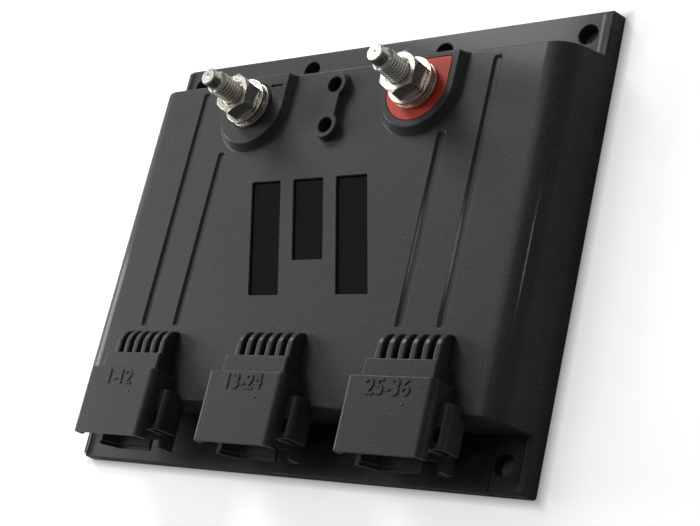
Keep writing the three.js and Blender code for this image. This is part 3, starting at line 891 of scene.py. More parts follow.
@dataclass
class Housing:
    """The moulded front housing: flange, low cover, terminal bosses and sockets for everything else."""

    half_width: float = 92.3
    half_height: float = 75.5
    thickness: float = 4.6
    side_draft: float = 1.2
    front: float = 19.1
    flat_half: float = 79.0
    side_radius: float = 9.6
    lean: float = 20.0
    top: float = 59.9
    bottom: float = -58.8
    end_draft: float = 1.1
    wall: float = 2.4
    edge: float = 0.55
    boss_top: float = 22.0
    boss_radius: float = 14.0
    boss_foot: float = 16.2
    boss_edge: float = 58.3
    terminal: Point = (35.3, 46.9)
    grooves: tuple[Point, ...] = ((62.2, 56.2), (46.9, 31.8))  # place across and upper end
    groove_bottom: float = -32.3
    groove_width: float = 3.4
    groove_depth: float = 0.8
    hole_radius: float = 3.3
    holes: tuple[Point, ...] = (
        (-83, 68.2), (83, 68.2), (-28.7, 68.9), (28.7, 68.9), (-82.5, -67.1), (82.5, -67.1))
    bone: tuple[float, float, float] = (0.45, 51.5, 36.7)  # place across, upper and lower hole
    bone_height: float = 2.8
    bone_hole: float = 2.7
    rebate_half: float = 87.7
    rebate_ends: Point = (-60.5, 61.6)
    hollow_ends: Point = (-56.3, 57.4)
    seat_depth: float = 2.7
    wide_seat: float = 11.7
    wide_seat_edge: float = 56.4
    round_seat: float = 8.6
    sleeve: float = 6.0
    seat_gap: float = 0.12
    minus: tuple[float, float, float] = (-25.8, 53.8, 2.5)  # middle of the sign and half its length
    port_hole: tuple[float, float, float] = (15.65, -55.6, 12.05)  # half width, upper end and floor
    post: float = 3.5
    pilot_hole: float = 1.35
    port_centres: tuple[float, ...] = (-55.5, 0.4, 56.3)
    window_width: float = 12.6
    window_top: float = 19.0
    window_lean: float = 11.4 / 40.4  # across for each millimetre down
    windows: tuple[tuple[str, float, float], ...] = (  # name, upper left corner and lower edge
        ("left", -28.4, -21.4), ("centre", -9.9, -9.5), ("right", 8.3, -21.4))
    plate_screws: tuple[Point, ...] = (
        (-81.5, -52), (-81.5, 0), (-81.5, 53), (81.5, -52), (81.5, 0), (81.5, 53), (0, 54.6), (28, -53.4))
    board_screws: tuple[Point, ...] = ((-70, -46), (70, -46), (-70, 46), (70, 46))

    def flange(self) -> Solid:
        """The flat rim, drafted a little on its long sides.

        Returns:
            The rim as a full slab.
        """
        width, height = self.half_width, self.half_height
        outline = rectangle((-width, width), (-height, height), 1.1, 6)
        draft = self.side_draft / self.half_width / self.thickness
        body = Solid.loft(outline, soft_ends(0, self.thickness, 0.25, 0.4))
        return body.reshaped(lambda x, y, z: (x * (1 - draft * z), y, z))

    def cover(self) -> Solid:
        """The low cover with round shoulders.

        Returns:
            The cover as a full block.
        """
        foot = self.half_width - self.side_draft
        centre = self.front - self.side_radius
        low = self.thickness - 2
        right = arc(self.flat_half, centre, self.side_radius, self.lean, 90, 14)
        left = arc(-self.flat_half, centre, self.side_radius, 90, 180 - self.lean, 14)
        outline = [(-foot + 1, low), (foot - 1, low), (foot, self.thickness), *right, *left,
                   (-foot, self.thickness)]
        rise = self.front - self.thickness

        def drafted(x: float, y: float, z: float) -> Spot:
            """Leans both ends in towards the front."""
            lean = self.end_draft * max(0.0, z - self.thickness) / rise
            return x, y - math.copysign(lean, y), z

        body = Solid.loft(outline, soft_ends(self.bottom, self.top, self.edge, self.edge, 4), Run.ALONG_Y)
        return body.reshaped(drafted)

    def lips(self) -> list[Solid]:
        """Low ridges along the flange's side edges, above and below the cover.

        Returns:
            Eight solids, two for each stretch.
        """
        outer = self.half_width - self.side_draft - 0.1
        face, inner, fillet = self.thickness, 87.0, 3.9
        ends = ((self.top - 1, self.half_height - 1), (-self.half_height + 1, self.bottom + 1))
        sweep = arc(inner, face + fillet, fillet, -90, -52, 6)
        ramp = [(91.0, face - 1), (90.2, face + 0.7), *reversed(sweep), (inner, face - 1)]
        made = []
        for side in (-1, 1):
            near, far = sorted((side * 89.6, side * outer))
            section = [(side * x, z) for x, z in ramp[::-side]]
            for low, high in ends:
                made.append(Solid.block((near, low, face - 1), (far, high, face + 0.8), 0.25))
                made.append(Solid.loft(section, [(0, low), (0, high)], Run.ALONG_Y))
        return made

    def shield(self, x: float, radius: float, top: float) -> Outline:
        """A half-round bottom about the terminal, under straight sides and a straight top.

        Args:
            x: the terminal's place across the module.
            radius: of the round bottom.
            top: where the straight top is.

        Returns:
            The outline.
        """
        y = self.terminal[1]
        corners = [(x + radius, top, 0.8), (x - radius, top, 0.8)]
        upper = softened([*corners, (x - radius, y, 0), (x + radius, y, 0)], 4)[:-2]
        return [*upper, *arc(x, y, radius, 180, 360, 40)]

    def boss(self, side: int) -> Solid:
        """A raised, sloping pad round a terminal, with a fillet at its foot.

        Args:
            side: -1 for the left pad, 1 for the right one.

        Returns:
            The pad.
        """
        x, y = side * self.terminal[0], self.terminal[1]
        front = self.front
        levels = [(0.35, front - 1), (0.35, front), (0.12, front + 0.14), (0, front + 0.35)]
        levels += soft_ends(front + 0.35, self.boss_top, 0, 0.3, 3)[1:]
        slope = (self.boss_foot / self.boss_radius - 1) / (self.boss_top - front)

        def sloped(px: float, py: float, pz: float) -> Spot:
            """Spreads the pad towards its foot, but not at its straight top edge."""
            spread = 1 + slope * (self.boss_top - max(pz, front))
            return x + (px - x) * spread, y + (py - y) * spread if py < y else py, pz

        return Solid.loft(self.shield(x, self.boss_radius, self.boss_edge), levels).reshaped(sloped)

    def dog_bone(self) -> Solid:
        """The raised pad with two blind holes between the terminals.

        Returns:
            The pad.
        """
        (x, high, low), radius, waist = self.bone, 4.6, 3.0
        turn = math.radians(48)
        pull = waist * 2 - radius * math.cos(turn)
        rise, reach = radius * math.sin(turn), radius * math.cos(turn)
        middle = (high + low) / 2

        def bend(side: int, start: float, end: float) -> Outline:
            """The waist on one side.

            Args:
                side: -1 for the left of the pad, 1 for its right.
                start: where the bend starts.
                end: where it ends.

            Returns:
                The points between those two.
            """
            points = []
            for k in range(1, 8):
                t = k / 8
                points.append((x + side * ((1 - t) ** 2 * reach + 2 * t * (1 - t) * pull + t * t * reach),
                               (1 - t) ** 2 * start + 2 * t * (1 - t) * middle + t * t * end))
            return points

        outline = [*arc(x, high, radius, -48, 228, 36), *bend(-1, high - rise, low + rise),
                   *arc(x, low, radius, 132, 408, 36), *bend(1, low + rise, high - rise)]
        foot, top = self.front, self.front + self.bone_height
        levels = [(0.55, foot - 1), (0.55, foot), (0.3, foot + 0.25), (0.15, foot + 0.7),
                  (-0.05, top - 0.45), (-0.14, top - 0.2), (-0.3, top - 0.06), (-0.5, top)]
        return Solid.loft(outline, levels).cut(*self.bone_drills())

    def bone_drills(self) -> list[Solid]:
        """Cutters for the two blind holes, which go on into the cover.

        Returns:
            Two cutters.
        """
        x, high, low = self.bone
        top = self.front + self.bone_height
        return [Solid.drill(self.bone_hole, top - 4.3, top, x, y, 0.25) for y in (high, low)]

    def inside(self) -> list[Solid]:
        """Cutters for the hollow, the back plate's rebate and the seal's groove.

        Returns:
            Three cutters.
        """
        half = [(86, -1), (86, 10.5), (84.6, 13.2), (82.2, 15.4), (78.8, self.front - self.wall)]
        hollow = [*half, *[(-x, z) for x, z in reversed(half)]]
        rim = self.rebate(0, 1.5)
        ring = Solid.loft(offset(rim, -0.1), [(0, 1.1), (0, 3.0)])
        ring = ring.cut(Solid.loft(offset(rim, -1.5), [(0, 0), (0, 4)]))
        inside = Solid.loft(hollow, [(0, end) for end in self.hollow_ends], Run.ALONG_Y)
        return [inside, Solid.loft(rim, [(0, -1), (0, 1.6)]), ring]

    def rebate(self, gap: float, radius: float) -> Outline:
        """The back plate's rebate, or a piece that lies in it with a gap all round."""
        x, (low, high) = self.rebate_half - gap, self.rebate_ends
        return rectangle((-x, x), (low + gap, high - gap), radius)

    def bosses_inside(self) -> list[Solid]:
        """Screw posts under the cover.

        Returns:
            One post for each screw.
        """
        ceiling = self.front - self.wall + 0.5
        posts = [Solid.rod(self.post, 1.6, ceiling - 3, x, y, 24) for x, y in self.plate_screws]
        return posts + [Solid.rod(self.post, 4.8, ceiling, x, y, 24) for x, y in self.board_screws]

    def groove(self, x: float, top: float) -> Solid:
        """A cutter for a shallow groove with sloping sides.

        Args:
            x: the groove's middle.
            top: its upper end.

        Returns:
            The cutter.
        """
        half, floor = self.groove_width / 2, self.front - self.groove_depth
        outline = rectangle((x - half + 0.7, x + half - 0.7), (self.groove_bottom + 0.7, top - 0.7), 0.3)
        return Solid.loft(outline, [(-0.15, floor), (0.0, floor + 0.08), (0.62, self.front - 0.08),
                                    (0.85, self.front + 0.02), (0.85, self.front + 1)])

    def window(self, corner: float, bottom: float, grow: float) -> Outline:
        """The leaning outline of a status window.

        Args:
            corner: the upper left corner's place across the module.
            bottom: the lower edge.
            grow: how far the outline is moved outwards.

        Returns:
            The outline.
        """
        width, top = self.window_width, self.window_top
        slide = self.window_lean * (top - bottom)
        corners = [(corner + slide, bottom, 0.4), (corner + slide + width, bottom, 0.4),
                   (corner + width, top, 0.4), (corner, top, 0.4)]
        return offset(softened(corners, 3), grow)

    def openings(self) -> list[Solid]:
        """Cutters for everything that goes through the cover or the flange.

        Returns:
            The cutters.
        """
        front, boss, (x, y) = self.front, self.boss_top, self.terminal
        cuts = [self.groove(side * gx, top) for gx, top in self.grooves for side in (-1, 1)]
        cuts += [Solid.drill(self.hole_radius, -1, self.thickness, *hole) for hole in self.holes]
        for _, corner, bottom in self.windows:
            levels = [(0, front - 4), (0, front - 0.2), (0.25, front + 0.05), (0.25, front + 1)]
            cuts.append(Solid.loft(self.window(corner, bottom, 0), levels))
        floor, gap = boss - self.seat_depth, self.seat_gap
        levels = [(0, floor), (0, boss - 0.12), (0.25, boss + 0.1), (0.25, boss + 1)]
        cuts.append(Solid.loft(self.shield(x, self.wide_seat + gap, self.wide_seat_edge + gap), levels))
        cuts.append(Solid.drill(self.round_seat + gap, floor, boss, -x, y, 0.2))
        cuts += [Solid.rod(self.sleeve + gap, front - 5, boss + 1, side * x, y) for side in (-1, 1)]
        px, py, reach = self.minus
        cuts.append(Solid.block((px - reach, py - 0.5, boss - 0.5), (px + reach, py + 0.5, boss + 1)))
        half, end, low = self.port_hole
        cuts += [Solid.block((cx - half, self.bottom - 1, low), (cx + half, end, front + 1))
                 for cx in self.port_centres]
        cuts += [Solid.rod(self.pilot_hole, 0, 11.5, px, py, 16)
                 for px, py in self.plate_screws + self.board_screws]
        face = self.thickness
        cuts.append(Solid.block((78.7, -76.5, face - 0.3), (79.1, self.bottom - 0.1, face + 1)))
        cuts.append(Solid.block((78.4, -76.5, 1.2), (79.4, -75.2, 3.4)))
        return cuts

    def build(self) -> None:
        """Makes the housing."""
        shell = self.flange().joined(self.cover(), *self.lips()).cut(*self.inside())
        raised = shell.joined(self.boss(-1), self.boss(1), *self.bosses_inside())
        body = raised.cut(*self.openings()).joined(self.dog_bone())
        place("front_housing_moulding", [body.cut(*self.bone_drills())], MOULDING, replaces=["front_housing"])


@dataclass
class StatusWindows:
    """Three smoked windows, each over a strip of small lights."""

    shop: Workshop
    housing: Housing
    sink: float = 0.8
    light: float = 2.4
    end_space: float = 6.0
    long_strip: float = 25.0

    def build(self) -> None:
        """Makes the windows and their light strips."""
        front, wall = self.housing.front, self.housing.wall
        for name, corner, bottom in self.housing.windows:
            rim = self.housing.window(corner, bottom, -0.15)
            pane = Solid.loft(rim, soft_ends(front - wall - 0.5, front - self.sink, 0, 0.35))
            under = front - wall - 0.1
            flange = Solid.loft(offset(rim, 1.3), soft_ends(under - 1.0, under, 0.15, 0.15))
            place(f"{name}_smoked_window", [pane.joined(flange)], LENS, replaces=[f"{name}_status_window"],
                  angle=14)
            self.strip(name, corner, bottom)

    def strip(self, name: str, corner: float, bottom: float) -> None:
        """A carrier with a row of diffusers on it.

        Args:
            name: the window's name.
            corner: its upper left corner.
            bottom: its lower edge.
        """
        housing, half = self.housing, self.light / 2
        carrier = Solid.loft(housing.window(corner, bottom, -4), soft_ends(4.75, 5.6, 0.1, 0.15))
        length = housing.window_top - bottom
        reach = length - 2 * self.end_space
        count = 6 if reach > self.long_strip else 4
        light = Solid.block((-half, -half, 5.3), (half, half, 6.2), 0.25)
        start_x = corner + housing.window_width / 2 + housing.window_lean * (length - self.end_space)
        step = reach / (count - 1)
        row = self.shop.row.row(light, count, (start_x, bottom + self.end_space, 0),
                                (-housing.window_lean * step, step, 0), DIFFUSER.material())
        place(f"{name}_diffusers", [carrier, row], DIFFUSER, replaces=[f"{name}_light_strip"])


# ------------------------------------------------------------------ terminals


@dataclass
class Terminal:
    """One threaded terminal with its insulator, bus bar, washers and nut."""

    shop: Workshop
    housing: Housing
    pole: Pole
    tip: float = 44.7
    point: float = 3.0
    point_length: float = 4.0
    pitch: float = 1.25
    root: float = 3.42
    washer: float = 8.2
    bore: float = 4.3
    flat: float = 1.2
    spring: float = 1.6
    gap: float = 0.03
    across_flats: float = 13.0
    nut_height: float = 6.3
    sleeve_bore: float = 4.12
    plus: tuple[float, float, float] = (25.9, 53.6, 1.9)  # middle of the sign and half its length
    bar_width: float = 18.0
    bar_thickness: float = 1.5

    @property
    def axis(self) -> Point:
        """The stud's axis."""
        return self.pole.value * self.housing.terminal[0], self.housing.terminal[1]

    @property
    def label(self) -> str:
        """The pole's name as it starts the CAD nodes' names."""
        return self.pole.name.lower()

    def body(self, piece: str) -> Body:
        """The body of this terminal's washer or nut."""
        return Body[f"{self.pole.name}_{piece}"]

    def stud(self) -> None:
        """The stud: a square head inside, a threaded shank and a plain point."""
        (x, y), root, point, tip = self.axis, self.root, self.point, self.tip
        low, high = 23.0, tip - self.point_length - 0.55
        steps = [(0, 10.7), (7.2, 10.7), (7.4, 10.9), (7.4, 13.0), (7.2, 13.2), (4.0, 13.2), (4.0, 22.6),
                 (root, low + 0.2), (root, high - 0.35), (3.9, high - 0.1), (3.9, high),
                 (point + 0.15, high + 0.55), (point, high + 0.75), (point, tip - 0.5),
                 (point - 0.06, tip - 0.38), (point - 0.3, tip - 0.1), (point - 0.4, tip - 0.03),
                 (0.8, tip - 0.05), (0.5, tip - 0.16), (0, tip - 0.2)]
        shank = Solid.turned(steps, x, y, 64)
        ridge = self.shop.thread.ridge(root + 0.01, self.pitch, high - 0.3 - low, 0.56, PLATED.material())
        place(f"{self.label}_threaded_stud", [shank, ridge.moved(x, y, low)], PLATED,
              replaces=[f"{self.label}_stud"])

    def insulator(self) -> None:
        """The moulded sleeve, whose top plate lies flush in the boss."""
        (x, y), housing = self.axis, self.housing
        top, low = housing.boss_top, housing.boss_top - 2.6
        red = self.pole is Pole.POSITIVE
        outline = (housing.shield(x, housing.wide_seat, housing.wide_seat_edge) if red
                   else arc(x, y, housing.round_seat, 0, 354, 59))
        plate = Solid.loft(outline, soft_ends(low, top, 0.1, 0.3))
        sleeve = Solid.rod(housing.sleeve, 13.4, low + 0.5, x, y)
        body = plate.joined(sleeve).cut(Solid.drill(self.sleeve_bore, 12, top, x, y, 0.25))
        if red:
            px, py, long = self.plus
            body = body.cut(*[Solid.block((px - a, py - b, top - 0.4), (px + a, py + b, top + 1))
                              for a, b in ((long, 0.45), (0.45, long))])
        name = f"{self.label}_insulating_sleeve"
        place(name, [body], INSULATOR_RED if red else INSULATOR_BLACK, replaces=[f"{self.label}_insulator"])

    def flat_washer(self, low: float, body: Body, node: str) -> None:
        """A flat washer with soft edges.

        Args:
            low: where its underside is.
            body: the body that it rides on.
            node: its CAD node's name.
        """
        x, y = self.axis
        high, soft, cut, inner, outer = low + self.flat, 0.22, 0.07, self.bore, self.washer
        steps = [(inner, low + 0.1), (inner + 0.1, low), (outer - soft, low), (outer - cut, low + cut),
                 (outer, low + soft), (outer, high - soft), (outer - cut, high - cut), (outer - soft, high),
                 (inner + 0.15, high), (inner, high - 0.15)]
        place(f"{node}_plated", [Solid.turned(steps, x, y, 72)], PLATED, body, [node])

    def spring_washer(self, low: float) -> None:
        """A split washer of square wire, with its two ends a little apart.

        Args:
            low: where its underside is.
        """
        x, y = self.axis
        inner, outer, soft = self.bore, self.washer - 0.9, 0.2
        count, rise, thick = 64, 0.18, self.spring - 0.2
        section = rectangle((inner, outer), (0, thick), soft, 2)
        bm = bmesh.new()
        rings = []
        for k in range(count + 1):
            angle = math.radians(96 + 348 * k / count)
            lift = low + 0.01 + rise * k / count
            across, along = math.cos(angle), math.sin(angle)
            rings.append([bm.verts.new((x + r * across, y + r * along, lift + z)) for r, z in section])
        for a, b in zip(rings, rings[1:]):
            for i in range(len(section)):
                j = (i + 1) % len(section)
                bm.faces.new((a[i], a[j], b[j], b[i]))
        bm.faces.new(rings[0])
        bm.faces.new(rings[-1][::-1])
        place(f"{self.label}_split_washer", [Solid.from_bmesh(bm)], PLATED,
              replaces=[f"{self.label}_spring_washer"])

    def nut(self, low: float) -> None:
        """A hexagon nut, chamfered at both faces.

        Args:
            low: where its underside is.
        """
        x, y = self.axis
        corner = self.across_flats / math.sqrt(3)
        turn = {Pole.NEGATIVE: -3, Pole.POSITIVE: -7}[self.pole]
        high, flat, drop = low + self.nut_height, self.across_flats / 2 - 0.1, 0.75
        hexagon = softened([(px, py, 0.25) for px, py in arc(x, y, corner, 30 + turn, 330 + turn, 5)], 2)
        prism = Solid.loft(hexagon, [(0, low), (0, high)])
        cone = Solid.turned([(0, low), (flat, low), (corner + 0.1, low + drop), (corner + 0.1, high - drop),
                             (flat, high), (0, high)], x, y, 72)
        wide, narrow = 4.9, 4.14
        bore = [(0, low - 1), (wide, low - 1), (wide, low), (narrow, low + 0.6), (narrow, high - 0.6),
                (wide, high), (wide, high + 1), (0, high + 1)]
        body = prism.combined(Join.COMMON, [cone]).cut(Solid.turned(bore, x, y, 64))
        place(f"{self.label}_hexagon_nut", [body], PLATED, self.body("NUT"), [f"{self.label}_nut"], 22)

    def bus_bar(self) -> None:
        """A bent copper bar from under the stud's head down to the board."""
        x = self.axis[0]
        top, thick, soft = 10.6, self.bar_thickness, 0.2
        half, start = self.bar_width / 2, 38.5
        bar = Solid.block((x - half, start, top - thick), (x + half, 55.5, top), soft)
        legs = [Solid.block((x - half, low, 4.75), (x + half, low + thick, top - 0.2), soft)
                for low in (start, 48.3)]
        place(f"{self.label}_copper_bar", [bar.joined(*legs)], COPPER, replaces=[f"{self.label}_bus_bar"])

    def build(self) -> None:
        """Makes the terminal from its stud up to its nut."""
        self.stud()
        self.insulator()
        self.bus_bar()
        lower = self.housing.boss_top + self.gap
        spring = lower + self.flat + self.gap
        upper = spring + self.spring + self.gap
        self.flat_washer(lower, Body.MODULE, f"{self.label}_lower_washer")
        self.spring_washer(spring)
        self.flat_washer(upper, self.body("WASHER"), f"{self.label}_upper_washer")
        self.nut(upper + self.flat + self.gap)


# ------------------------------------------------------------------ ports


@dataclass
class Port:
    """A hooded twelve-way port with cooling-fin ribs above it and a latch keeper on each side."""

    shop: Workshop
    housing: Housing
    number: int
    marking: str
    half: float = 15.5
    front: float = 29.1
    back: float = 12.2
    key: float = 4.6
    wall: float = 1.8
    round_edge: float = 2.2
    hood_top: float = -49.9
    mouth: float = -72.6
    rear_mouth: float = -73.6
    inner: float = -55.8
    floor: float = -59.0
    ribs: int = 6
    pitch: float = 4.19
    pin_rows: Point = (18.4, 22.6)

    @property
    def seat(self) -> float:
        """Where the hood sits on the cover."""
        return self.housing.front + 0.1

    @property
    def centre(self) -> float:
        """The port's place across the module."""
        return self.housing.port_centres[self.number - 1]

    def outline(self, shrink: float) -> Outline:
        """The port's section, with one back corner cut off as a key.

        Args:
            shrink: how far the outline is moved inwards.

        Returns:
            The outline.
        """
        half, back, front = self.half - shrink, self.back + shrink * 0.67, self.front - shrink
        radius = max(0.8, self.round_edge - shrink)
        key = self.key - shrink * 0.28
        return softened([(-half + key, back, 0.5), (half, back, 0.5), (half, front, radius),
                         (-half, front, radius), (-half, back + key, 0.5)], 7)

    def hood(self) -> Solid:
        """The wide front of the port, which lies on the cover.

        Returns:
            The hood, still solid.
        """
        section = softened([(-self.half, self.seat, 0), (self.half, self.seat, 0),
                            (self.half, self.front, self.round_edge), (-self.half, self.front, 1.2)], 7)
        hood = Solid.loft(section, soft_ends(self.mouth, self.hood_top, 0.25, 0.45), Run.ALONG_Y)
        section = softened([(-13, self.seat, 0), (13, self.seat, 0), (13, 26.4, 0.8), (-13, 26.4, 0.5)], 5)
        return hood.joined(Solid.loft(section, soft_ends(self.hood_top - 1, -43.95, 0, 0.35), Run.ALONG_Y))

    def rib_row(self) -> Solid:
        """Six ribs with rounded noses.

        Returns:
            The ribs, about the middle of the port.
        """
        top, front, radius, width = -34.4, 24.4, 5.1, 2.4
        nose = arc(top - radius, front - radius, radius, 4, 90, 10)
        section = [(self.hood_top, self.seat), (top, self.seat), *nose, (self.hood_top, front)]
        rib = Solid.loft(section, soft_ends(-width / 2, width / 2, 0.65, 0.65, 4), Run.ALONG_X)
        first = -(self.ribs - 1) / 2 * self.pitch
        return self.shop.row.row(rib, self.ribs, (first, 0, 0), (self.pitch, 0, 0), MOULDING.material())

    def keeper(self, side: int) -> Solid:
        """A latch keeper: a tunnel beside the port, with a window for the catch.

        Args:
            side: -1 for the left of the port, 1 for its right.

        Returns:
            The keeper.
        """
        inner, out, back, front, wall = self.half - 0.4, 19.4, 16.3, 24.8, 1.4
        corners = [(inner, back, 0), (out, back, 0.5), (out, front, 1.8), (inner, front, 0)]
        body = Solid.loft(softened(corners, 6), soft_ends(-69.0, -55.7, 0.3, 0.4), Run.ALONG_Y)
        body = body.cut(
            Solid.block((inner - 1, self.housing.bottom - 0.4, back - 1), (out + 1, -50, self.seat)),
            Solid.block((self.half + 0.2, -70, back + wall), (out - wall, -57.7, front - wall)),
            Solid.block((15.9, -67.2, front - wall - 1), (17.4, -62.9, front + 1)))
        if side < 0:
            body.transformed(Matrix.Scale(-1, 4, (1, 0, 0)))
            body.mesh.flip_normals()
        return body

    def shell(self) -> None:
        """The whole moulding of the port."""
        shroud = Solid.loft(self.outline(0), soft_ends(self.rear_mouth, self.inner, 0.25, 0), Run.ALONG_Y)
        start, half, front, back = self.rear_mouth - 1, self.half, self.front, self.back
        trim = Solid.block((-17, start, front - 4), (17, self.mouth, front + 1))
        levels = [(0.4, start), (0.4, self.mouth + 0.1), (0, self.mouth + 0.5), (0, self.floor)]
        hollow = Solid.loft(self.outline(self.wall), levels, Run.ALONG_Y)
        gaps = [Solid.block((side * half - 4, start, 17.6), (side * half + 4, -69.2, 25.4)) for side in (-1, 1)]
        slot = Solid.block((5.2, start, back - 1), (11.0, start + 5, back + 3))
        body = shroud.cut(trim).joined(self.hood()).cut(hollow, *gaps, slot)
        body = body.joined(self.keeper(1), self.keeper(-1))
        words = Solid.lettering(self.marking, 7.0, 0.25).moved(-0.3, -53.6, front - 0.05)
        dot = Solid.turned([(0, front - 0.3), (0.5, front - 0.3), (0.45, front + 0.1), (0.3, front + 0.16),
                            (0, front + 0.16)], 5.9, -58.2, 16)
        solids = [part.moved(self.centre) for part in (body, self.rib_row(), words, dot)]
        place(f"port_{self.number}_hood", solids, MOULDING, replaces=[f"port_{self.number}_shell"])

    def contacts(self) -> None:
        """Twelve pointed pins standing on a carrier at the floor of the port."""
        floor, tip = self.floor - 0.05, -68.5
        carrier = Solid.block((-12.1, floor - 2, 16.2), (12.1, floor, 24.8), 0.3)
        length = floor - 1 - tip
        steps = [(0, 0), (0.3, 0), (0.55, 0.35), (0.72, 1.2), (0.75, 1.6), (0.75, length), (0, length)]
        pin = Solid.turned(steps, 0, 0, 16).transformed(Matrix.Rotation(-math.pi / 2, 4, "X"))
        first, step = -(self.ribs - 1) / 2 * self.pitch, (self.pitch, 0, 0)
        rows = [self.shop.row.row(pin.copied(), self.ribs, (first, tip, z), step, CONTACT.material())
                for z in self.pin_rows]
        place(f"port_{self.number}_pins", [part.moved(self.centre) for part in rows], CONTACT,
              replaces=[f"port_{self.number}_contacts"])
        place(f"port_{self.number}_pin_carrier", [carrier.moved(self.centre)], INSULATOR_BLACK)

    def build(self) -> None:
        """Makes the port."""
        self.shell()
        self.contacts()


# ------------------------------------------------------------------ back and inside


@dataclass
class Back:
    """The aluminium back plate, its seal and its screws."""

    shop: Workshop
    housing: Housing

    def screw(self, head: float, head_height: float, length: float) -> Solid:
        """A pan-head screw with a hexagon socket and a ringed shank, head down at zero.

        Args:
            head: radius of the head.
            head_height: height of the head.
            length: of head and shank together.

        Returns:
            The screw.
        """
        steps = [(0, 0), (head - 0.35, 0), (head - 0.1, 0.12), (head, 0.35), (head, head_height),
                 (1.2, head_height)]
        pitch = 0.6
        height = head_height + pitch
        while height < length - 1.0:
            steps += [(0.95, height), (1.2, height + pitch / 2)]
            height += pitch
        steps += [(0.9, length - 0.6), (0.35, length), (0, length)]
        socket = Solid.loft(arc(0, 0, head * 0.48, 0, 300, 5), [(0, -1), (0, head_height * 0.65)])
        return Solid.turned(steps, 0, 0, 32).cut(socket)

    def build(self) -> None:
        """Makes the plate, the seal and the plate's screws."""
        rim = self.housing.rebate(0.3, 1.2)
        holes = []
        for x, y in self.housing.plate_screws:
            holes += [Solid.rod(1.7, -1, 3, x, y, 24), Solid.rod(2.8, -1, 0.9, x, y, 32)]
        plate = Solid.loft(rim, soft_ends(0, 1.5, 0.2, 0.1)).cut(*holes)
        place("aluminium_back_plate", [plate], ALUMINIUM, replaces=["back_plate"])

        outer = self.housing.rebate(0.35, 1.2)
        ring = Solid.loft(outer, soft_ends(1.6, 2.75, 0.2, 0.35))
        ring = ring.cut(Solid.loft(offset(outer, -0.9), [(0, 1), (0, 4)]))
        place("rim_seal", [ring], RUBBER, replaces=["perimeter_seal"])

        spots = [(x, y, 0.05) for x, y in self.housing.plate_screws]
        screw = self.screw(2.6, 0.8, 9.0)
        screws = self.shop.scatter.scattered(screw, spots, math.tau, 7, SCREW_STEEL.material())
        place("back_plate_screws", [screws], SCREW_STEEL,
              replaces=[f"back_plate_screw_{i + 1}" for i in range(len(spots))])


